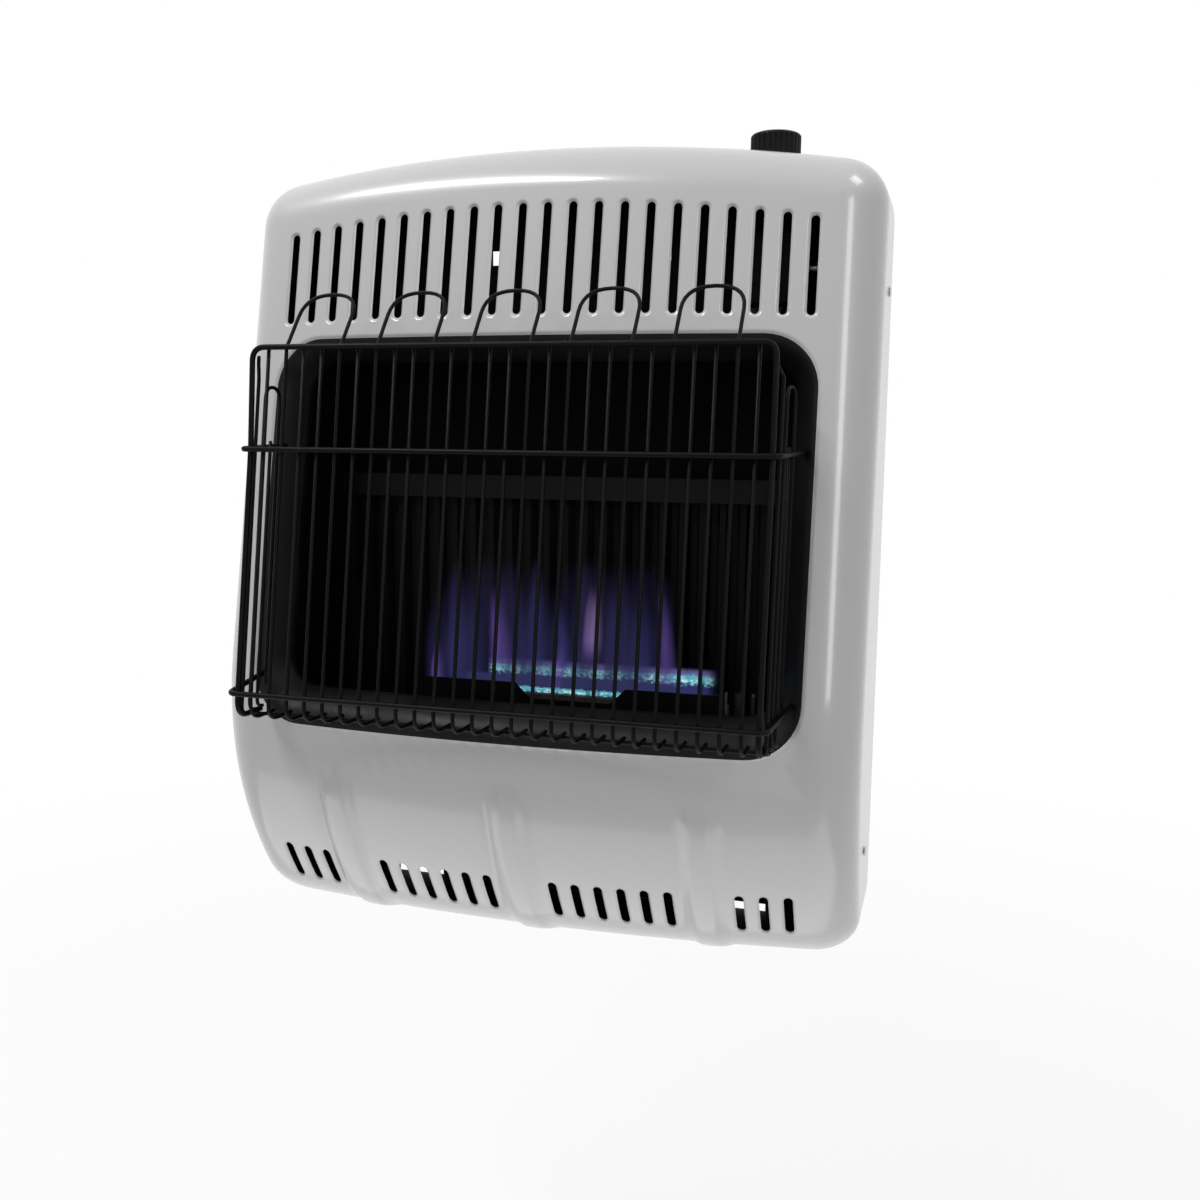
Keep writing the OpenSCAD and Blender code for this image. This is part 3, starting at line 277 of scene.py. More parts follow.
# Port flames: a bright band with white specks over a blue foot, and a haze above it
def portLight(name, core, haze, share):
    made = Finish(name)
    across, up = made.sheet()
    streak = made.noise(1.0, 3.0, made.stretched(110.0, 40.0, 25.0))
    speck = made.noise(1.0, 3.0, made.stretched(300.0, 40.0, 420.0))
    wander = up + 0.35 * (speck - 0.5)
    band = made.ramp(wander, core - 0.24, core)
    tone = made.mix(band, (0.030, 0.034, 0.13), (0.08, 0.42, 0.52))
    hot = band * made.ramp(speck, 0.44, 0.62) * made.ramp(streak, 0.3, 0.55)
    tone = made.mix(hot, tone, (0.62, 0.88, 0.94))
    tone = made.mix(made.ramp(wander, core + 0.06, core + 0.2), tone, haze)
    edge = made.ramp(across, 0.0, 0.03) * made.ramp(across, 1.0, 0.92)
    ends = made.ramp(up, 1.0, 0.8) * made.ramp(up, 0.0, 0.08)
    return made.glow(tone, share * edge * ends * (0.6 + 0.4 * made.ramp(streak, 0.3, 0.5)))


def addObject(name, data):
    made = bpy.data.objects.new(name, data)
    scene.collection.objects.link(made)
    return made


# New piece from its points, in millimetres, and faces
def addPiece(name, shape, material, replaced=(), body="root", normals=None):
    verts, faces = shape
    mesh = bpy.data.meshes.new(name)
    mesh.from_pydata((np.asarray(verts, float) * mm).tolist(), [], faces)
    mesh.polygons.foreach_set("use_smooth", [True] * len(mesh.polygons))
    if normals is not None:
        mesh.normals_split_custom_set(normals)
    mesh.materials.append(material)
    piece = addObject(name, mesh)
    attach(piece, body)
    if replaced:
        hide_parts(*replaced)
    return piece


def joined(parts):
    verts = []
    faces = []
    for points, polygons in parts:
        start = len(verts)
        verts.extend(points)
        faces.extend([[start + i for i in polygon] for polygon in polygons])
    return verts, faces


# Rings of equal length, joined in turn; the ends are capped, or joined to each other if closed
def skinned(rings, closed=False):
    count = len(rings[0])
    verts = [point for ring in rings for point in ring]
    faces = []
    for row in range(len(rings) if closed else len(rings) - 1):
        here = row * count
        there = (row + 1) % len(rings) * count
        for k in range(count):
            n = (k + 1) % count
            faces.append([here + k, here + n, there + n, there + k])
    if not closed:
        faces.append([count - 1 - k for k in range(count)])
        faces.append([len(verts) - count + k for k in range(count)])
    return verts, faces


def unit(v):
    return v / np.linalg.norm(v, axis=-1, keepdims=True)


def ringAngles(sides):
    return np.linspace(0, 2 * math.pi, sides, endpoint=False)


# Path with its corners rounded, by one radius or a list of them
def roundedPath(points, radius, steps=8):
    points = [np.array(p, float) for p in points]
    bends = radius if isinstance(radius, list) else [radius] * (len(points) - 2)
    path = [points[0]]
    for before, corner, after, bend in zip(points, points[1:], points[2:], bends):
        a = unit(before - corner)
        b = unit(after - corner)
        reach = bend * math.tan((math.pi - math.acos(max(-1.0, min(1.0, a @ b)))) / 2)
        for t in np.linspace(0, 1, steps):
            path.append(corner + a * reach * (1 - t) ** 2 + b * reach * t ** 2)
    return path + [points[-1]]


# Round wire or pipe along a path, its ends slightly rounded
def tube(path, diameter, sides=14):
    path = [np.array(p, float) for p in path]
    tangents = [unit(b - a) for a, b in zip([path[0]] + path[:-1], path[1:] + [path[-1]])]
    side = unit(np.cross(tangents[0], (0, 0, 1) if abs(tangents[0][2]) < 0.9 else (1, 0, 0)))
    bevel = 0.2 * diameter
    rings = []
    angles = ringAngles(sides)
    last = len(path) - 1
    for i, (point, along) in enumerate(zip(path, tangents)):
        side = unit(side - (side @ along) * along)
        other = np.cross(along, side)
        turn = np.outer(np.cos(angles), side) + np.outer(np.sin(angles), other)
        if i == 0:
            rings.append(point + turn * (diameter / 2 - bevel))
            rings.append(point + along * bevel + turn * diameter / 2)
        elif i == last:
            rings.append(point - along * bevel + turn * diameter / 2)
            rings.append(point + turn * (diameter / 2 - bevel))
        else:
            rings.append(point + turn * diameter / 2)
    return skinned(rings)


# Body about Z from [radius, height] pairs; shape gives how far it reaches at each angle
def turned(profile, sides, shape):
    angles = ringAngles(sides)
    rings = []
    for radius, height in profile:
        reach = shape(angles, radius, height)
        rings.append(np.stack([reach * np.cos(angles), reach * np.sin(angles),
                               np.full(sides, float(height))], 1))
    return skinned(rings)


def moved(part, x, y, z, turn=None):
    points = np.array(part[0], float)
    if turn is not None:
        points = points @ np.array(turn.to_3x3()).T
    return list(points + (x, y, z)), part[1]


# Case: sizes as in the CAD, with softer ribs, and its face as a surface y(x, z)
case = dict(width=514.35, height=628.5, archDrop=16.9, archAt=240.0, depth=189.5, lean=0.19, belly=230.0,
            tuck=0.85, bow=23.5, roll=36.0, draft=1.0, sheet=1.2, ribPitch=145.0, ribHalf=17.0,
            ribFlank=11.0, ribHeight=7.0, ribFull=128.0, ribEnd=154.0, ribTip=0.65)
# How finely its sheet is divided, and how far loose points stay from edges and cuts
sheetMesh = dict(step=6.0, corner=10, slotArc=9, slotStep=7.0, slotRings=(0.0, 0.6, 1.4), openArc=12,
                 openWide=60, openTall=40, openRings=(0.0, 0.8, 1.8), edgeGap=3.0, slotGap=1.5,
                 openGap=2.0, sideFront=-150.0, sideRear=-3.0, sideStep=9.0, rimGap=4.0, cutGap=3.0,
                 holeSides=48, holeSlack=0.05, rimSlack=0.001, merge=1e-5, nudge=0.05)
halfWidth = case["width"] / 2
edgeIn = case["roll"] + case["draft"]
gridX = halfWidth - edgeIn
rollLength = case["roll"] * math.pi / 2


def smooth(t):
    t = np.clip(t, 0, 1)
    return t * t * (3 - 2 * t)


def plainY(x, z):
    lean = case["lean"]
    slope = lean + case["tuck"]
    below = np.maximum(case["belly"] - np.asarray(z, float), 0)
    front = -case["depth"] + lean * lean * case["belly"] / (2 * slope)
    profile = front + lean * (z - case["belly"]) + slope * below ** 2 / (2 * case["belly"])
    return profile + case["bow"] * (np.asarray(x, float) / halfWidth) ** 2


# Three pressed ribs, which grow out of the belly from a narrow tip
def faceY(x, z):
    fade = smooth((case["ribEnd"] - z) / (case["ribEnd"] - case["ribFull"]))
    half = case["ribHalf"] * (case["ribTip"] + (1 - case["ribTip"]) * np.sqrt(fade))
    hump = 0
    for middle in (-case["ribPitch"], 0, case["ribPitch"]):
        hump = hump + smooth((half - np.abs(x - middle)) / case["ribFlank"])
    return plainY(x, z) - case["ribHeight"] * fade * hump


def arch(x):
    return case["archDrop"] * (np.asarray(x, float) / case["archAt"]) ** 2


def topZ(x):
    return case["height"] - edgeIn - arch(x)


def topTilt(x):
    return np.arctan(2 * case["archDrop"] * np.asarray(x, float) / case["archAt"] ** 2)


# Flat pattern (u, v) of face and rolled edge: the nearest face point, the way out of it, the distance
def fromFlat(u, v):
    x = np.clip(u, -gridX, gridX)
    over = x
    for _ in range(5):  # closes in on the nearest point of the arched top
        reach = np.maximum(v - topZ(over), 0) * np.cos(topTilt(over))
        over = np.clip(u - reach * np.sin(topTilt(over)), -gridX, gridX)
    above = v > topZ(over)
    x = np.where(above, over, x)
    z = np.where(above, topZ(over), np.maximum(v, edgeIn))
    away = np.hypot(u - x, v - z)
    safe = np.maximum(away, tiny)
    return x, z, (u - x) / safe, (v - z) / safe, away


# Louvres under the top, and intakes low down in rows of (first x, number)
louvres = dict(count=22, pitch=19.75, width=6.3, low=497.0, high=580.5, lowDrop=3.0, highDrop=15.1)
intakes = dict(width=6.8, pitch=18.1, rows=((27.0, 6), (171.0, 3)), low=30.5, length=35.0, lift=6.0)
opening = dict(half=215.5, low=181.0, high=481.5, radius=40.0)
lip = dict(slotDepth=2.0, slotReach=3.0, openDepth=1.6, openReach=3.4)


# Slots of the case, each [x, lower end, upper end, width]
def slotPlaces():
    places = []
    half = (louvres["count"] - 1) / 2
    for i in range(louvres["count"]):
        share = ((i - half) / half) ** 2
        places.append([(i - half) * louvres["pitch"], louvres["low"] - louvres["lowDrop"] * share,
                       louvres["high"] - louvres["highDrop"] * share, louvres["width"]])
    for side in (-1, 1):
        for start, number in intakes["rows"]:
            for k in range(number):
                x = start + k * intakes["pitch"]
                low = intakes["low"] + intakes["lift"] * (x / halfWidth) ** 2
                places.append([side * x, low, low + intakes["length"], intakes["width"]])
    return places


slots = slotPlaces()


# Distance in the flat pattern to the nearest slot, and to the fire opening
def slotGap(u, v):
    gap = np.full(np.shape(u), np.inf)
    for x, low, high, width in slots:
        past = np.maximum(np.maximum(low + width / 2 - v, v - high + width / 2), 0)
        gap = np.minimum(gap, np.hypot(u - x, past) - width / 2)
    return gap


def openingGap(u, v):
    middle = (opening["low"] + opening["high"]) / 2
    dx = np.abs(u) - opening["half"] + opening["radius"]
    dz = np.abs(v - middle) - (opening["high"] - opening["low"]) / 2 + opening["radius"]
    outside = np.hypot(np.maximum(dx, 0), np.maximum(dz, 0))
    return outside + np.minimum(np.maximum(dx, dz), 0) - opening["radius"]


# The sheet in space, with the edges of its cuts pressed inwards
def onSheet(u, v):
    x, z, outX, outZ, away = fromFlat(u, v)
    turn = np.clip(away / case["roll"], 0, math.pi / 2)
    x = x + outX * case["roll"] * np.sin(turn)
    z = z + outZ * case["roll"] * np.sin(turn)
    y = faceY(x, z) + case["roll"] * (1 - np.cos(turn))
    y = y + lip["slotDepth"] * (1 - np.clip(slotGap(u, v) / lip["slotReach"], 0, 1)) ** 2
    y = y + lip["openDepth"] * (1 - np.clip(openingGap(u, v) / lip["openReach"], 0, 1)) ** 2
    return np.stack([x, y, z], -1)


def sheetNormal(u, v):
    h = sheetMesh["nudge"]
    across = onSheet(u + h, v) - onSheet(u - h, v)
    upward = onSheet(u, v + h) - onSheet(u, v - h)
    return unit(np.cross(across, upward))


def arcPoints(x, z, radius, first, last, count):
    return [(x + radius * math.cos(a), z + radius * math.sin(a)) for a in np.linspace(first, last, count)]


# Edge of the face as [x, z, angle outwards], from the upper left corner down and round by the right
def caseEdge():
    step = sheetMesh["step"]
    right = math.pi / 2
    tilt = float(topTilt(gridX))
    top = float(topZ(gridX))
    wide = np.linspace(-gridX, gridX, int(2 * gridX / step) + 1)
    tall = np.linspace(edgeIn, top, int((top - edgeIn) / step) + 1)

    def corner(x, z, first, last):
        return [(x, z, a) for a in np.linspace(first, last, sheetMesh["corner"])[1:-1]]

    edge = [(-gridX, z, 2 * right) for z in tall[::-1]]
    edge += corner(-gridX, edgeIn, 2 * right, 3 * right)
    edge += [(x, edgeIn, 3 * right) for x in wide]
    edge += corner(gridX, edgeIn, -right, 0)
    edge += [(gridX, z, 0.0) for z in tall]
    edge += corner(gridX, top, 0, right - tilt)
    edge += [(x, float(topZ(x)), right - float(topTilt(x))) for x in wide[::-1]]
    edge += corner(-gridX, top, right + tilt, 2 * right)
    return np.array(edge)


def slotOutline(x, low, high, width, out):
    radius = width / 2 + out
    first = low + width / 2
    last = high - width / 2
    lower = arcPoints(x, first, radius, -math.pi, 0, sheetMesh["slotArc"])
    upper = arcPoints(x, last, radius, 0, math.pi, sheetMesh["slotArc"])
    sides = np.linspace(first, last, max(3, int((high - low) / sheetMesh["slotStep"])))[1:-1]
    return lower + [(x + radius, z) for z in sides] + upper + [(x - radius, z) for z in sides[::-1]]


# Rounded rectangle from its lower right corner upwards: an arc, then the straight run to the next arc
def openingOutline(half, low, high, radius):
    right = math.pi / 2
    x = half - radius
    corners = [(x, low + radius), (x, high - radius), (-x, high - radius), (-x, low + radius)]
    arcs = [arcPoints(*corner, radius, (k - 1) * right, k * right, sheetMesh["openArc"])
            for k, corner in enumerate(corners)]
    points = []
    for k, arc in enumerate(arcs):
        count = sheetMesh["openWide" if k % 2 else "openTall"]
        points += arc + list(np.linspace(arc[-1], arcs[(k + 1) % 4][0], count)[1:-1])
    return points


# Triangles over loose points and closed loops; keep says which triangle centres stay
def triangulated(loops, loose, keep):
    points = []
    edges = []
    for loop in loops:
        start = len(points)
        points += [tuple(p) for p in loop]
        edges += [(start + k, start + (k + 1) % len(loop)) for k in range(len(loop))]
    points += [tuple(p) for p in loose]
    made = delaunay_2d_cdt([Vector(p) for p in points], edges, [], 0, sheetMesh["merge"])
    flat = np.array([tuple(p) for p in made[0]])
    triangles = np.array(made[2])
    centres = flat[triangles].mean(1)
    return flat, triangles[keep(centres[:, 0], centres[:, 1])]


def caseFace():
    edge = caseEdge()
    loops = [edge[:, :2] + rollLength * np.stack([np.cos(edge[:, 2]), np.sin(edge[:, 2])], 1)]
    rings = (*sheetMesh["slotRings"], lip["slotReach"])
    loops += [slotOutline(*slot, out) for slot in slots for out in rings]
    for out in (*sheetMesh["openRings"], lip["openReach"]):
        loops.append(openingOutline(opening["half"] + out, opening["low"] - out, opening["high"] + out,
                                    opening["radius"] + out))
    reach = halfWidth + rollLength
    u, v = np.meshgrid(np.arange(-reach, reach, sheetMesh["step"]),
                       np.arange(-rollLength, case["height"] + rollLength, sheetMesh["step"]))
    u = u.ravel()
    v = v.ravel()
    clear = fromFlat(u, v)[4] < rollLength - sheetMesh["edgeGap"]
    clear &= slotGap(u, v) > lip["slotReach"] + sheetMesh["slotGap"]
    clear &= openingGap(u, v) > lip["openReach"] + sheetMesh["openGap"]
    loose = np.stack([u[clear], v[clear]], 1)

    def keep(cu, cv):
        inside = fromFlat(cu, cv)[4] < rollLength - sheetMesh["rimSlack"]
        return inside & (slotGap(cu, cv) > 0) & (openingGap(cu, cv) > 0)

    flat, triangles = triangulated(loops, loose, keep)
    return onSheet(flat[:, 0], flat[:, 1]), sheetNormal(flat[:, 0], flat[:, 1]), triangles


# Sides of the case, from the rolled edge back to the wall, with the knob's hole and the gas entry
sideCuts = dict(knobRadius=21.0, entryX=(209.0, 239.0), entryY=(-55.0, -15.0), roofFacing=0.9,
                footFacing=-0.2)


def caseSides():
    cut = sideCuts
    edge = caseEdge()
    edge = np.concatenate([edge, edge[:1]])
    out = np.stack([np.cos(edge[:, 2]), np.sin(edge[:, 2])], 1)
    front = onSheet(*(edge[:, :2] + rollLength * out).T)
    rear = edge[:, :2] + edgeIn * out
    along = np.concatenate([[0], np.cumsum(np.hypot(*np.diff(rear, axis=0).T))])
    upper = np.arange(len(edge)) > len(edge) / 2
    roof = upper & (out[:, 1] > cut["roofFacing"])
    foot = ~upper & (out[:, 1] < cut["footFacing"])

    # How far round the rim a place on the roof or the foot lies
    def roundTo(x, part):
        order = np.argsort(rear[part, 0])
        return float(np.interp(x, rear[part, 0][order], along[part][order]))

    circle = arcPoints(0, 0, cut["knobRadius"], 0, 2 * math.pi, sheetMesh["holeSides"] + 1)[:-1]
    hole = [(roundTo(knob["x"] + x, roof), knob["y"] + y) for x, y in circle]
    ends = [roundTo(x, foot) for x in cut["entryX"]]
    near, far = cut["entryY"]
    entry = [(ends[0], near), (ends[1], near), (ends[1], far), (ends[0], far)]
    rim = list(zip(along, front[:, 1])) + list(zip(along[::-1], np.zeros(len(along))))
    depths = np.arange(sheetMesh["sideFront"], sheetMesh["sideRear"], sheetMesh["sideStep"])
    s, y = np.meshgrid(along[1:-1], depths)
    s = s.ravel()
    y = y.ravel()
    centre = np.array(hole).mean(0)

    def inHole(ps, py, grow):
        return np.hypot(ps - centre[0], py - centre[1]) < cut["knobRadius"] + grow

    def inEntry(ps, py, grow):
        across = (ps > ends[0] - grow) & (ps < ends[1] + grow)
        return across & (py > near - grow) & (py < far + grow)

    gap = sheetMesh["cutGap"]
    free = y > np.interp(s, along, front[:, 1]) + sheetMesh["rimGap"]
    free &= ~inHole(s, y, gap) & ~inEntry(s, y, gap)

    def keep(cs, cy):
        inside = (cy > np.interp(cs, along, front[:, 1])) & (cy < 0)
        return inside & ~inHole(cs, cy, -sheetMesh["holeSlack"]) & ~inEntry(cs, cy, 0)

    flat, triangles = triangulated([rim, hole, entry], np.stack([s[free], y[free]], 1), keep)
    mixed = [np.interp(flat[:, 0], along, column) for column in (*front.T, *rear.T, *out.T)]
    share = 1 - flat[:, 1] / mixed[1]
    x = mixed[0] + (mixed[3] - mixed[0]) * share
    z = mixed[2] + (mixed[4] - mixed[2]) * share
    normal = unit(np.stack([mixed[5], np.zeros(len(x)), mixed[6]], 1))
    return np.stack([x, flat[:, 1], z], 1), normal, triangles


# Face and sides joined at their rim, given the sheet's thickness; the inside faces take the lining, near
# black as painted shade
def buildCase(material, shadeLining):
    points = []
    normals = []
    triangles = []
    known = {}
    for part in (caseFace(), caseSides()):
        index = []
        for point, normal in zip(part[0], part[1]):
            key = tuple(np.round(point, 3))
            if key not in known:
                known[key] = len(points)
                points.append(point)
                normals.append(normal)
            index.append(known[key])
        triangles += [[index[k] for k in t] for t in part[2]]
    points = np.array(points)
    normals = np.array(normals)
    outer = []
    for a, b, c in triangles:
        if len({a, b, c}) == 3:
            facing = np.cross(points[b] - points[a], points[c] - points[a]) @ normals[[a, b, c]].sum(0)
            outer.append([a, b, c] if facing > 0 else [a, c, b])
    count = len(points)
    inner = points - normals * case["sheet"]
    inner[:, 1] = np.minimum(inner[:, 1], 0)
    uses = {}
    for t in outer:
        for a, b in zip(t, t[1:] + t[:1]):
            uses[a, b] = True
    walls = [[b, a, a + count, b + count] for a, b in uses if (b, a) not in uses]
    faces = outer + [[c + count, b + count, a + count] for a, b, c in outer] + walls
    verts = np.concatenate([points, inner])
    shading = np.concatenate([normals, -normals])
    loops = [shading[k] for face in faces[:2 * len(outer)] for k in face]
    for face in walls:
        flat = np.cross(verts[face[1]] - verts[face[0]], verts[face[2]] - verts[face[0]])
        size = np.linalg.norm(flat)
        loops += [flat / size if size > 0 else normals[face[0]]] * 4
    shell = addPiece("caseShell", (verts, faces), material, ["outer_case"],
                     normals=np.array(loops).tolist())
    shell.data.materials.append(shadeLining)
    # inside faces take the lining, whose near-black tone is painted shade
    inside = [0] * len(outer) + [1] * len(outer) + [0] * len(walls)
    shell.data.polygons.foreach_set("material_index", inside)
    print("case:", len(faces), "faces")


# Surround of the fire opening: a flange behind the case, then a band that curves inwards
surround = dict(half=214.0, low=182.5, high=480.0, radius=38.5, seat=1.8, flange=8.0, sheet=1.2,
                side=(0.0, 6.8, 17.0), sill=(0.0, 17.76, 24.0), depth=(0.0, 5.6, 28.0),
                corner=(38.5, 31.9, 24.5), steps=12, probes=200, rearLip=0.5)


def curve(ends, t):
    return ends[0] * (1 - t) ** 2 + 2 * ends[1] * t * (1 - t) + ends[2] * t * t


def surroundLoop(side, sill, radius, depth):
    part = surround
    points = openingOutline(part["half"] - side, part["low"] + sill, part["high"] - side, radius)
    return [(x, float(plainY(x, z)) + part["seat"] + depth, z) for x, z in points]


def buildSurround(material):
    part = surround
    section = [(-part["flange"], -part["flange"], part["radius"] + part["flange"], 0.0)]
    for t in np.linspace(0, 1, part["steps"]):
        section.append((curve(part["side"], t), curve(part["sill"], t), curve(part["corner"], t),
                        curve(part["depth"], t)))
    sheet = part["sheet"]
    # Rear side: a full sheet behind the flange and its fold, less behind the curved band
    rear = [(a - sheet, b - sheet, r + sheet, d + (sheet if k < 2 else part["rearLip"] * sheet))
            for k, (a, b, r, d) in enumerate(section)]
    rear[0] = (*section[0][:3], sheet)
    rings = [surroundLoop(*entry) for entry in section + rear[::-1]]
    addPiece("fireSurround", skinned(rings, closed=True), material, ["opening_frame"])


# Wire guard: rails in front, uprights behind them; the top rail's ends turn down as stiles. The uprights
# come in groups, and two of each group are the legs of a hoop
guard = dict(depth=234.95, lean=0.146, railSize=4.2, wireSize=2.8, half=200.0, plugOut=8.0, bend=8.0,
             low=215.0, middle=395.0, top=470.0, middleRise=2.0, lowRise=5.0, pitch=14.65, hoops=5,
             tailDrop=19.0, tailOut=8.0, tailBend=13.0, hoopBack=32.0, hoopRise=41.0, hoopBend=12.0,
             hoopFlat=0.5, group=5, legs=(1, 4), stileIn=5.3, stileBend=10.0, seat=0.3, touch=0.02,
             railSides=18, railSteps=12)
# Wires in the sides of the guard: one that steps forward to the top rail, a loop, a short one
sideWire = dict(pitch=12.75, tail=9.0, bend=7.0, loopTop=442.0, loopLow=211.0, loopBend=12.0,
                shortTop=401.0, stepZ=447.0, stepRise=12.0, stepIn=2.0, stepEnd=464.0, stepBend=6.0,
                gap=0.1)
wireCount = guard["group"] * guard["hoops"] + 1
slant = math.hypot(1, guard["lean"])
wireBack = (guard["railSize"] + guard["wireSize"]) / 2 * slant + guard["touch"]
stileBack = guard["railSize"] * slant + guard["seat"]
stileX = guard["half"] - guard["stileIn"]
tailZ = guard["low"] - guard["tailDrop"]
tailY = float(plainY(0, tailZ)) - guard["tailOut"]


def railY(z):
    return -guard["depth"] + guard["railSize"] / 2 + guard["lean"] * (z - guard["low"])


def wireY(z):
    return railY(z) + wireBack


def wireX(i):
    return (i - (wireCount - 1) / 2) * guard["pitch"]


# Depth at which a rail's end meets the surround, by the surround's own curve
def plugY(z):
    x = guard["half"] + guard["plugOut"]
    part = surround
    steps = np.linspace(0, 1, part["probes"])
    inset = curve(part["side"], steps)
    depth = np.interp(part["half"] - x, inset, curve(part["depth"], steps))
    return float(plainY(x, z)) + part["seat"] + float(depth)


def railPath(z, endZ):
    x = guard["half"] + guard["plugOut"]
    corners = [[-x, plugY(endZ), endZ], [-guard["half"], railY(z), z], [guard["half"], railY(z), z],
               [x, plugY(endZ), endZ]]
    return roundedPath(corners, guard["bend"], guard["railSteps"])


def stile(side):
    x = side * stileX
    foot = tailZ + (guard["railSize"] - guard["wireSize"]) / 2
    top = guard["top"]
    middle = guard["middle"]
    return [[x, railY(top), top], [x, railY(middle) + stileBack, middle],
            [x, railY(foot) + stileBack, foot], [x, tailY, foot]]


def wireFoot(x):
    return [[x, tailY, tailZ], [x, wireY(tailZ), tailZ]]


def sidePoint(side, step, z):
    inner = guard["half"] - (guard["railSize"] + guard["wireSize"]) / 2 - sideWire["gap"]
    length = plugY(guard["middle"]) - railY(guard["middle"])
    back = step * sideWire["pitch"]
    return [side * (inner + guard["plugOut"] * (back + wireBack) / length), wireY(z) + back, z]


def sideFoot(side, step):
    x, y, z = sidePoint(side, step, tailZ)
    return [[x, y + sideWire["tail"], z], [x, y, z]]


def sidePaths(side):
    part = sideWire
    bend = part["bend"]
    x = side * (stileX - part["stepIn"])
    stepped = sideFoot(side, 1) + [sidePoint(side, 1, part["stepZ"])]
    for z in (part["stepZ"] + part["stepRise"], part["stepEnd"]):
        stepped.append([x, wireY(z) + stileBack / 2, z])
    loop = sideFoot(side, 2) + [sidePoint(side, 2, part["loopTop"]), sidePoint(side, 4, part["loopTop"]),
                                sidePoint(side, 4, part["loopLow"])]
    short = sideFoot(side, 3) + [sidePoint(side, 3, part["shortTop"])]
    return [roundedPath(stepped, [bend, part["stepBend"], part["stepBend"]]),
            roundedPath(loop, [bend, part["loopBend"], part["loopBend"]]), roundedPath(short, bend)]


def hoopPath(left, right):
    y = wireY(guard["top"])
    z = guard["top"]
    over = [[left, y, z], [left, y + guard["hoopBack"], z + guard["hoopRise"]],
            [right, y + guard["hoopBack"], z + guard["hoopRise"]], [right, y, z]]
    bends = [guard["tailBend"], guard["hoopBend"], (right - left) / 2 - guard["hoopFlat"]]
    return roundedPath(wireFoot(left) + over + wireFoot(right)[::-1], bends + bends[::-1])


def buildGuard(material):
    def add(name, node, parts):
        addPiece(name, joined(parts), material, [node])

    rail = guard["railSize"]
    wire = guard["wireSize"]
    bends = [guard["tailBend"], guard["tailBend"], guard["stileBend"]]
    rails = {"top": roundedPath(stile(-1)[::-1] + stile(1), bends + bends[::-1], guard["railSteps"]),
             "middle": railPath(guard["middle"], guard["middle"] + guard["middleRise"]),
             "bottom": railPath(guard["low"], guard["low"] + guard["lowRise"])}
    for name, path in rails.items():
        add("wire_%s_rail" % name, "guard_%s_rail" % name, [tube(path, rail, guard["railSides"])])
    rear = [[x, tailY - wire, tailZ - wire - guard["touch"]] for x in (-stileX - rail, 0, stileX + rail)]
    add("wire_rear_rail", "guard_rear_rail", [tube(rear, wire)])
    plain = []
    for i in range(wireCount):
        if i % guard["group"] not in guard["legs"]:
            top = [wireX(i), wireY(guard["top"]), guard["top"]]
            plain.append(tube(roundedPath(wireFoot(wireX(i)) + [top], guard["tailBend"]), wire))
    add("wire_uprights", "guard_uprights", plain)
    starts = range(0, wireCount - 1, guard["group"])
    hoops = [hoopPath(*[wireX(start + leg) for leg in guard["legs"]]) for start in starts]
    add("wire_hoops", "guard_hoops", [tube(path, wire) for path in hoops])
    sides = [path for side in (-1, 1) for path in sidePaths(side)]
    add("wire_side_loops", "guard_side_wires", [tube(path, wire) for path in sides])
    print("guard:", wireCount, "uprights")


# Knob: rounded grip ribs between a plain foot ring and a bevelled cap
knob = dict(x=166.0, y=-26.0, radius=19.5, low=607.35, height=34.0, bore=4.05, roof=8.0, ribs=28,
            ribDepth=1.0, ribSharp=2.2, ribEnd=2.5, ribFade=1.5, ribSides=12)


def buildKnob(material):
    part = knob
    r = part["radius"]
    h = part["height"]

    def ribbed(angles, radius, height):
        valley = 0.5 - 0.5 * np.tanh(part["ribSharp"] * np.cos(part["ribs"] * angles))
        fade = smooth((height - part["ribEnd"]) / part["ribFade"])
        fade = fade * smooth((h - part["ribEnd"] - height) / part["ribFade"])
        return radius - part["ribDepth"] * fade * valley * (radius > part["bore"])

    outline = [(part["bore"], h - part["roof"]), (part["bore"], 0.0), (r - 1.0, 0.0), (r - 0.3, 0.3),
               (r, 1.0), (r, 2.5), (r, 3.2), (r, 4.0), (r, h - 4.0), (r, h - 3.3), (r, h - 2.5),
               (r - 0.4, h - 1.6), (r - 1.4, h - 0.7), (r - 3.0, h - 0.1), (r - 4.5, h),
               (r - 6.0, h - 0.5), (r - 9.0, h - 0.8), (0.5, h - 0.8)]
    grip = turned(outline, part["ribs"] * part["ribSides"], ribbed)
    placed = moved(grip, part["x"], part["y"], part["low"])
    addPiece("knobGrip", placed, material, ["control_knob"], "knob")


# Pipes, leads and the capillary, on the same routes as in the CAD
burner = dict(y=-115.0, backRow=-102.1)  # its middle, and its rear row of ports
valveZ = 512.0
pipes = dict(size=8.0, bend=14.0, steps=12, sides=20, supply=(224.0, -35.0), supplyLow=96.0,
             supplyHigh=538.0, valveRight=194.0, manifold=(190.5, -19.0), venturiZ=122.0,
             turnX=-190.0, injectorX=-166.0)
leads = dict(size=3.6, bend=12.0, steps=8, sides=14, pilotX=163.5, pitch=10.5, rear=-15.0, low=143.0,
             top=172.0)
capillary = dict(size=2.4, bend=8.0, steps=8, sides=14, x=142.0, y=-12.0, bulbX=132.0, bulbZ=60.0)


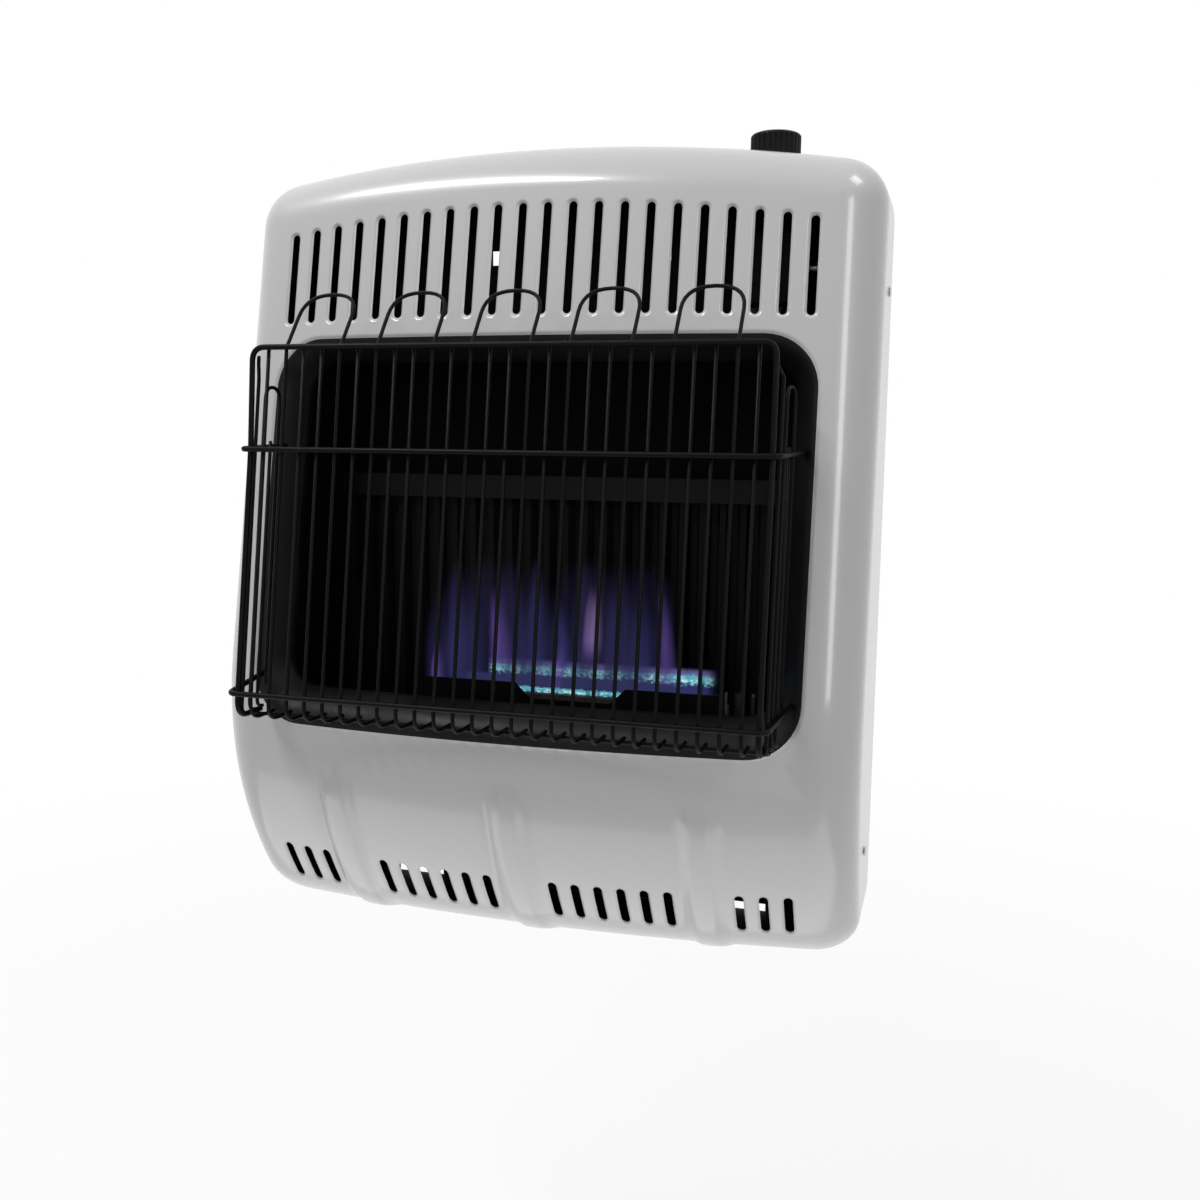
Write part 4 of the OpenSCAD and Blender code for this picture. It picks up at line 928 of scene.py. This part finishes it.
def buildPipes(pipeMetal, copper, rubber):
    def add(name, node, slot, material, line, route):
        shape = tube(roundedPath(route, line["bend"], line["steps"]), line["size"], line["sides"])
        addPiece(name, shape, material, [node])

    x, y = pipes["supply"]
    high = pipes["supplyHigh"]
    route = [[x, y, pipes["supplyLow"]], [x, y, high], [pipes["valveRight"], y, high]]
    add("supplyPipe", "supply_pipe", "aluminium", pipeMetal, pipes, route)
    x, y = pipes["manifold"]
    low = pipes["venturiZ"]
    turn = pipes["turnX"]
    route = [[x, y, valveZ], [x, y, low], [turn, y, low], [turn, burner["y"], low],
             [pipes["injectorX"], burner["y"], low]]
    add("manifoldPipe", "manifold_pipe", "aluminium", pipeMetal, pipes, route)
    kinds = ((-1, "ignition_lead", "lead_rubber", rubber), (0, "pilot_tube", "aluminium", pipeMetal),
             (1, "thermocouple_lead", "copper", copper))
    rear = leads["rear"]
    low = leads["low"]
    for place, node, slot, material in kinds:
        x = leads["pilotX"] + place * leads["pitch"]
        route = [[x, burner["y"], leads["top"]], [x, burner["y"], low], [x, rear, low], [x, rear, valveZ]]
        add(node.replace("_", "."), node, slot, material, leads, route)
    x = capillary["x"]
    y = capillary["y"]
    low = capillary["bulbZ"]
    route = [[x, y, valveZ], [x, y, low], [capillary["bulbX"], y, low]]
    add("capillaryTube", "capillary", "copper", copper, capillary, route)


# Return spring: a round wire helix
spring = dict(radius=7.0, wire=1.4, low=574.0, high=601.35, turns=5, steps=24, sides=12, inset=0.84,
              keep=0.82)


def buildSpring(material):
    part = spring
    count = part["turns"] * part["steps"]
    rise = part["high"] - part["low"] - 2 * part["inset"]
    path = []
    for i in range(count + 1):
        a = 2 * math.pi * i / part["steps"]
        path.append([knob["x"] + part["radius"] * math.cos(a), knob["y"] + part["radius"] * math.sin(a),
                     part["low"] + part["inset"] + rise * i / count])
    helix = tube(path, part["wire"], part["sides"])
    coil = addPiece("springCoil", helix, material, ["return_spring"])
    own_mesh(coil)


# Side screws: domed heads with a cross recess
screw = dict(head=4.0, rise=1.2, shank=2.0, length=9.0, sides=64, rim=(1.0, 0.97, 0.9),
             dome=(0.82, 0.03, 16), recess=0.55, slot=0.7, slotSoft=0.3, arm=2.3, armSoft=0.4,
             low=(-62.0, 85.0), high=(-26.0, 520.0))


def oneScrew():
    part = screw
    angles = ringAngles(part["sides"])
    circle = np.stack([np.cos(angles), np.sin(angles), np.zeros(len(angles))], 1)
    rings = [circle * part["shank"] + (0, 0, height) for height in (-part["length"], 0)]
    for share in np.concatenate([part["rim"], np.linspace(*part["dome"])]):
        radius = part["head"] * share
        ring = circle * radius
        cut = smooth((part["slot"] - np.abs(ring[:, :2]).min(1)) / part["slotSoft"])
        cut = cut * smooth((part["arm"] - radius) / part["armSoft"])
        ring[:, 2] = part["rise"] * (1 - share ** 4) ** 0.6 - part["recess"] * cut
        rings.append(ring)
    return skinned(rings)


def buildScrews(material):
    part = screw
    single = oneScrew()
    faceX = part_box("case_screws")[1][0] / mm - part["rise"]
    parts = []
    for side in (-1, 1):
        turn = Matrix.Rotation(side * math.pi / 2, 4, "Y")
        parts += [moved(single, side * faceX, y, z, turn) for y, z in (part["low"], part["high"])]
    addPiece("sideScrews", joined(parts), material, ["case_screws"])


# Flames: soft sheets over the burner, a wide veil and brighter tongues in it, each with its x, foot,
# rise, half width and lean
flame = dict(veil=(9.5, 209.0, 112.0, 106.5, 0.0), bow=6.0, veilTaper=0.08, tongueTaper=0.75, columns=24,
             rows=24)
tongues = [((-80.0, 209.0, 44.0, 8.0, 3.0), "violet"), ((-61.0, 209.0, 110.0, 11.0, 1.0), "blue"),
           ((-26.0, 226.0, 74.0, 12.0, -8.0), "violet"), ((6.0, 214.0, 112.0, 11.0, 0.0), "blue"),
           ((27.0, 226.0, 68.0, 7.0, -9.0), "blue"), ((24.0, 209.0, 48.0, 9.0, 2.0), "violet"),
           ((49.0, 231.0, 80.0, 10.0, 3.0), "bright"), ((91.0, 212.0, 92.0, 10.0, 0.0), "blue"),
           ((109.0, 212.0, 90.0, 9.0, -8.0), "violet")]
flameLooks = dict(
    veil=dict(foot=(0.022, 0.022, 0.078), body=(0.024, 0.020, 0.058), side=0.05, rise=0.05, hold=0.3,
              share=0.9),
    blue=dict(foot=(0.028, 0.030, 0.125), body=(0.030, 0.026, 0.09), side=0.45, rise=0.1, hold=0.25,
              share=0.8),
    violet=dict(foot=(0.12, 0.072, 0.33), body=(0.10, 0.055, 0.22), side=0.5, rise=0.15, hold=0.2,
                share=0.95),
    bright=dict(foot=(0.24, 0.15, 0.46), body=(0.62, 0.38, 0.78), side=0.5, rise=0.3, hold=0.3,
                share=1.0))


# Upright sheet with u across and v up; it bows forwards, narrows to its tip and leans as it rises
def veil(x, foot, rise, half, lean, y, bow, taper):
    verts = []
    corners = []
    for v in np.linspace(0, 1, flame["rows"] + 1):
        for u in np.linspace(0, 1, flame["columns"] + 1):
            across = half * (2 * u - 1) * (1 - taper * v * v)
            verts.append((x + across + lean * v * v, y - bow * math.sin(math.pi * u), foot + rise * v))
            corners.append((u, v))
    row = flame["columns"] + 1
    faces = [[r * row + c, r * row + c + 1, (r + 1) * row + c + 1, (r + 1) * row + c]
             for r in range(flame["rows"]) for c in range(flame["columns"])]
    return verts, faces, corners


def addVeil(name, sheet, material):
    verts, faces, corners = sheet
    piece = addPiece(name, (verts, faces), material)
    layer = piece.data.uv_layers.new(name="sheet")
    for loop, spot in zip(piece.data.loops, layer.data):
        spot.uv = corners[loop.vertex_index]


def buildFlames():
    looks = {name: flameLight("flame" + name.capitalize(), **look) for name, look in flameLooks.items()}
    bow = flame["bow"]
    addVeil("flame.veil", veil(*flame["veil"], burner["y"], -bow, flame["veilTaper"]), looks["veil"])
    for i, (spot, look) in enumerate(tongues):
        y = burner["y"] - bow * (1 + i % 2)
        addVeil("flame.%02d" % (i + 1), veil(*spot, y, bow, flame["tongueTaper"]), looks[look])


# Port flames: low glowing ribbons along the two rows of ports
port = dict(rear=(50.0, 207.0, 24.0, 95.0, 0.0), front=(36.0, 209.5, 15.0, 92.0, 0.0), frontY=-133.0,
            frontTaper=0.05)


def buildPorts():
    ribbon = portLight("portRibbon", core=0.6, haze=(0.13, 0.11, 0.30), share=0.95)
    dashes = portLight("portDashes", core=0.16, haze=(0.028, 0.03, 0.095), share=0.9)
    addVeil("portFlames.rear", veil(*port["rear"], burner["backRow"], 0.0, 0.0), ribbon)
    addVeil("portFlames.front", veil(*port["front"], port["frontY"], 0.0, port["frontTaper"]), dashes)


# Finishes for the CAD nodes that stay in view
def dress(material, *names):
    for name in names:
        data = nodes[name].data
        data.materials.clear()
        data.materials.append(material)


black = blackEnamel("blackEnamel", base=0.004, rough=(0.34, 0.5), warmth=0.0, shine=0.14)
# darker copy of the black enamel for the firebox: painted shade inside it
blackened = blackEnamel("fireboxEnamelShaded", base=0.0012, rough=(0.5, 0.7), warmth=0.0005, shine=0.03)
bar = blackEnamel("barEnamel", base=0.004, rough=(0.4, 0.55), warmth=0.0, shine=0.09)
shield = blackEnamel("shieldEnamel", base=0.003, rough=(0.45, 0.6), warmth=0.0005, shine=0.06)
coating = blackEnamel("guardCoating", base=0.002, rough=(0.32, 0.44), warmth=0.0, shine=0.07)
burnt = burnerSteel()
zinc = galvanised("galvanised")
shadedPanel = galvanised("backSheetShaded", shadeToBare=(-0.0008, -0.0003))
steel = bareMetal("platedSteel", (0.42, 0.42, 0.44), (0.62, 0.62, 0.64), 0.26, (300.0, 300.0, 40.0))
aluminium = bareMetal("aluminium", (0.55, 0.56, 0.57), (0.72, 0.73, 0.74), 0.3, (60.0, 60.0, 500.0))
# gas valve's casting near black: painted shade where it sits in the dim inside behind the louvres
shadedCasting = bareMetal("valveCastingShaded", (0.012, 0.012, 0.0125), (0.03, 0.03, 0.031), 0.5, (90.0, 90.0, 90.0))
brass = bareMetal("brass", (0.48, 0.34, 0.13), (0.66, 0.50, 0.22), 0.26, (500.0, 60.0, 60.0))
copper = bareMetal("copper", (0.48, 0.22, 0.12), (0.66, 0.36, 0.22), 0.28, (200.0, 200.0, 60.0))
# back panel: its front near black as painted shade
dress(shadedPanel, "back_panel")
dress(zinc, "injector_bracket", "valve_bracket", "regulator_bracket", "bulb_clips")
# firebox walls, hood, back and burner front plate in the darker black, which is painted shade
dress(blackened, "firebox_left_wall", "firebox_right_wall", "firebox_floor", "firebox_hood", "firebox_back",
      "burner_front_plate")
dress(shield, "rear_shield")
dress(bar, "baffle_bar")
dress(burnt, "burner_box", "pilot_bracket", "pilot_burner", "thermocouple")
dress(aluminium, "venturi", "regulator")
dress(shadedCasting, "gas_valve")
dress(brass, "injector")
dress(steel, "valve_stem", "push_collar")
dress(copper, "thermostat_bulb")
dress(ceramic(), "igniter_electrode")
print("nodes dressed")
buildCase(caseEnamel(), casePrimerAndShade())
buildSurround(black)
buildGuard(coating)
buildKnob(knobPlastic())
buildPipes(aluminium, copper, leadRubber())
buildSpring(steel)
buildScrews(steel)
buildFlames()
buildPorts()
print("pieces built")


# Stage: pale floor well below the hanging heater, white behind, and lamps with their place, width,
# height and power
studio = dict(floorZ=-0.42, floorSize=9.0, nearFloor=0.5, farFloor=2.2, nearWhite=0.88, roomLow=-0.35,
              roomHigh=0.55, aim=(0.0, -0.1, 0.32),
              lamps={"key": ((-1.0, -1.2, 2.3), 1.4, 0.2, 44.0),
                     "side": ((1.7, -1.3, 1.0), 0.35, 1.4, 11.0),
                     "corner": ((1.19, -0.12, 2.1), 0.45, 0.45, 5.0),
                     "low": ((0.0, -0.28, -0.34), 1.5, 0.44, 2.5)})


def buildStage():
    made = Finish("paleFloor")
    mottle = made.noise(3.0, 3.0)
    direct = made.direct()
    pale = made.mix(mottle, (0.9, 0.9, 0.9), (0.95, 0.95, 0.95))
    tone = made.mix(direct, (0.42, 0.42, 0.42), pale)
    matt = made.node("ShaderNodeBsdfDiffuse", {}, {"Color": tone})
    white = made.node("ShaderNodeEmission", {}, {"Color": (1.0, 1.0, 1.0, 1.0), "Strength": 1.0})
    away = made.node("ShaderNodeVectorMath", {"operation": "LENGTH"}, {0: made.place()}, "Value")
    near = studio["nearWhite"]
    seen = direct * (near + (1 - near) * made.ramp(away, studio["nearFloor"], studio["farFloor"]))
    material = made.surface(made.node("ShaderNodeMixShader", {}, {0: seen, 1: matt, 2: white}))
    half = studio["floorSize"] / 2
    z = studio["floorZ"]
    mesh = bpy.data.meshes.new("floor")
    corners = [(-half, -half, z), (half, -half, z), (half, half, z), (-half, half, z)]
    mesh.from_pydata(corners, [], [[0, 1, 2, 3]])
    mesh.materials.append(material)
    addObject("floor", mesh)
    for name, (place, width, height, power) in studio["lamps"].items():
        lamp = bpy.data.lights.new(name, "AREA")
        lamp.shape = "RECTANGLE"
        lamp.size = width
        lamp.size_y = height
        lamp.energy = power
        holder = addObject(name, lamp)
        holder.location = place
        aim = Vector(studio["aim"]) - Vector(place)
        holder.rotation_euler = aim.to_track_quat("-Z", "Y").to_euler()
        holder.visible_camera = False


# World: white to the camera and in reflections, a softer room for the light
def buildWorld():
    world = bpy.data.worlds.new("room")
    scene.world = world
    made = Finish("room", world)
    way = made.node("ShaderNodeTexCoord", {}, {}, "Generated")
    height = made.node("ShaderNodeSeparateXYZ", {}, {0: way}, "Z")
    lift = made.ramp(height, studio["roomLow"], studio["roomHigh"])
    room = made.mix(lift, (0.08, 0.08, 0.08), (0.312, 0.312, 0.314))
    color = made.mix(made.direct(), room, (1.0, 1.0, 1.0))
    made.surface(made.node("ShaderNodeBackground", {}, {"Color": color, "Strength": 1.0}),
                 "ShaderNodeOutputWorld")


# Camera as fitted to the photograph, which is square
photoCamera = dict(place=(305.78, -1008.96, 405.48), yaw=0.2758, pitch=0.1322, roll=0.0107,
                   focalPixels=1214.1, photoPixels=1200.0, sensor=36.0)


def buildCamera():
    part = photoCamera
    yaw = part["yaw"]
    pitch = part["pitch"]
    ahead = math.cos(pitch)
    forward = Vector((-math.sin(yaw) * ahead, math.cos(yaw) * ahead, -math.sin(pitch)))
    level = Vector((math.cos(yaw), math.sin(yaw), 0))
    upright = level.cross(forward)
    right = math.cos(part["roll"]) * level + math.sin(part["roll"]) * upright
    up = math.cos(part["roll"]) * upright - math.sin(part["roll"]) * level
    data = bpy.data.cameras.new("photoCamera")
    data.sensor_width = part["sensor"]
    data.lens = part["focalPixels"] / part["photoPixels"] * part["sensor"]
    camera = addObject("photoCamera", data)
    turn = Matrix((right, up, -forward)).transposed().to_4x4()
    camera.matrix_world = Matrix.Translation(Vector(part["place"]) * mm) @ turn
    bpy.context.scene.camera = camera


buildStage()
buildWorld()
buildCamera()
scene.view_settings.view_transform = "Standard"
print("stage ready")
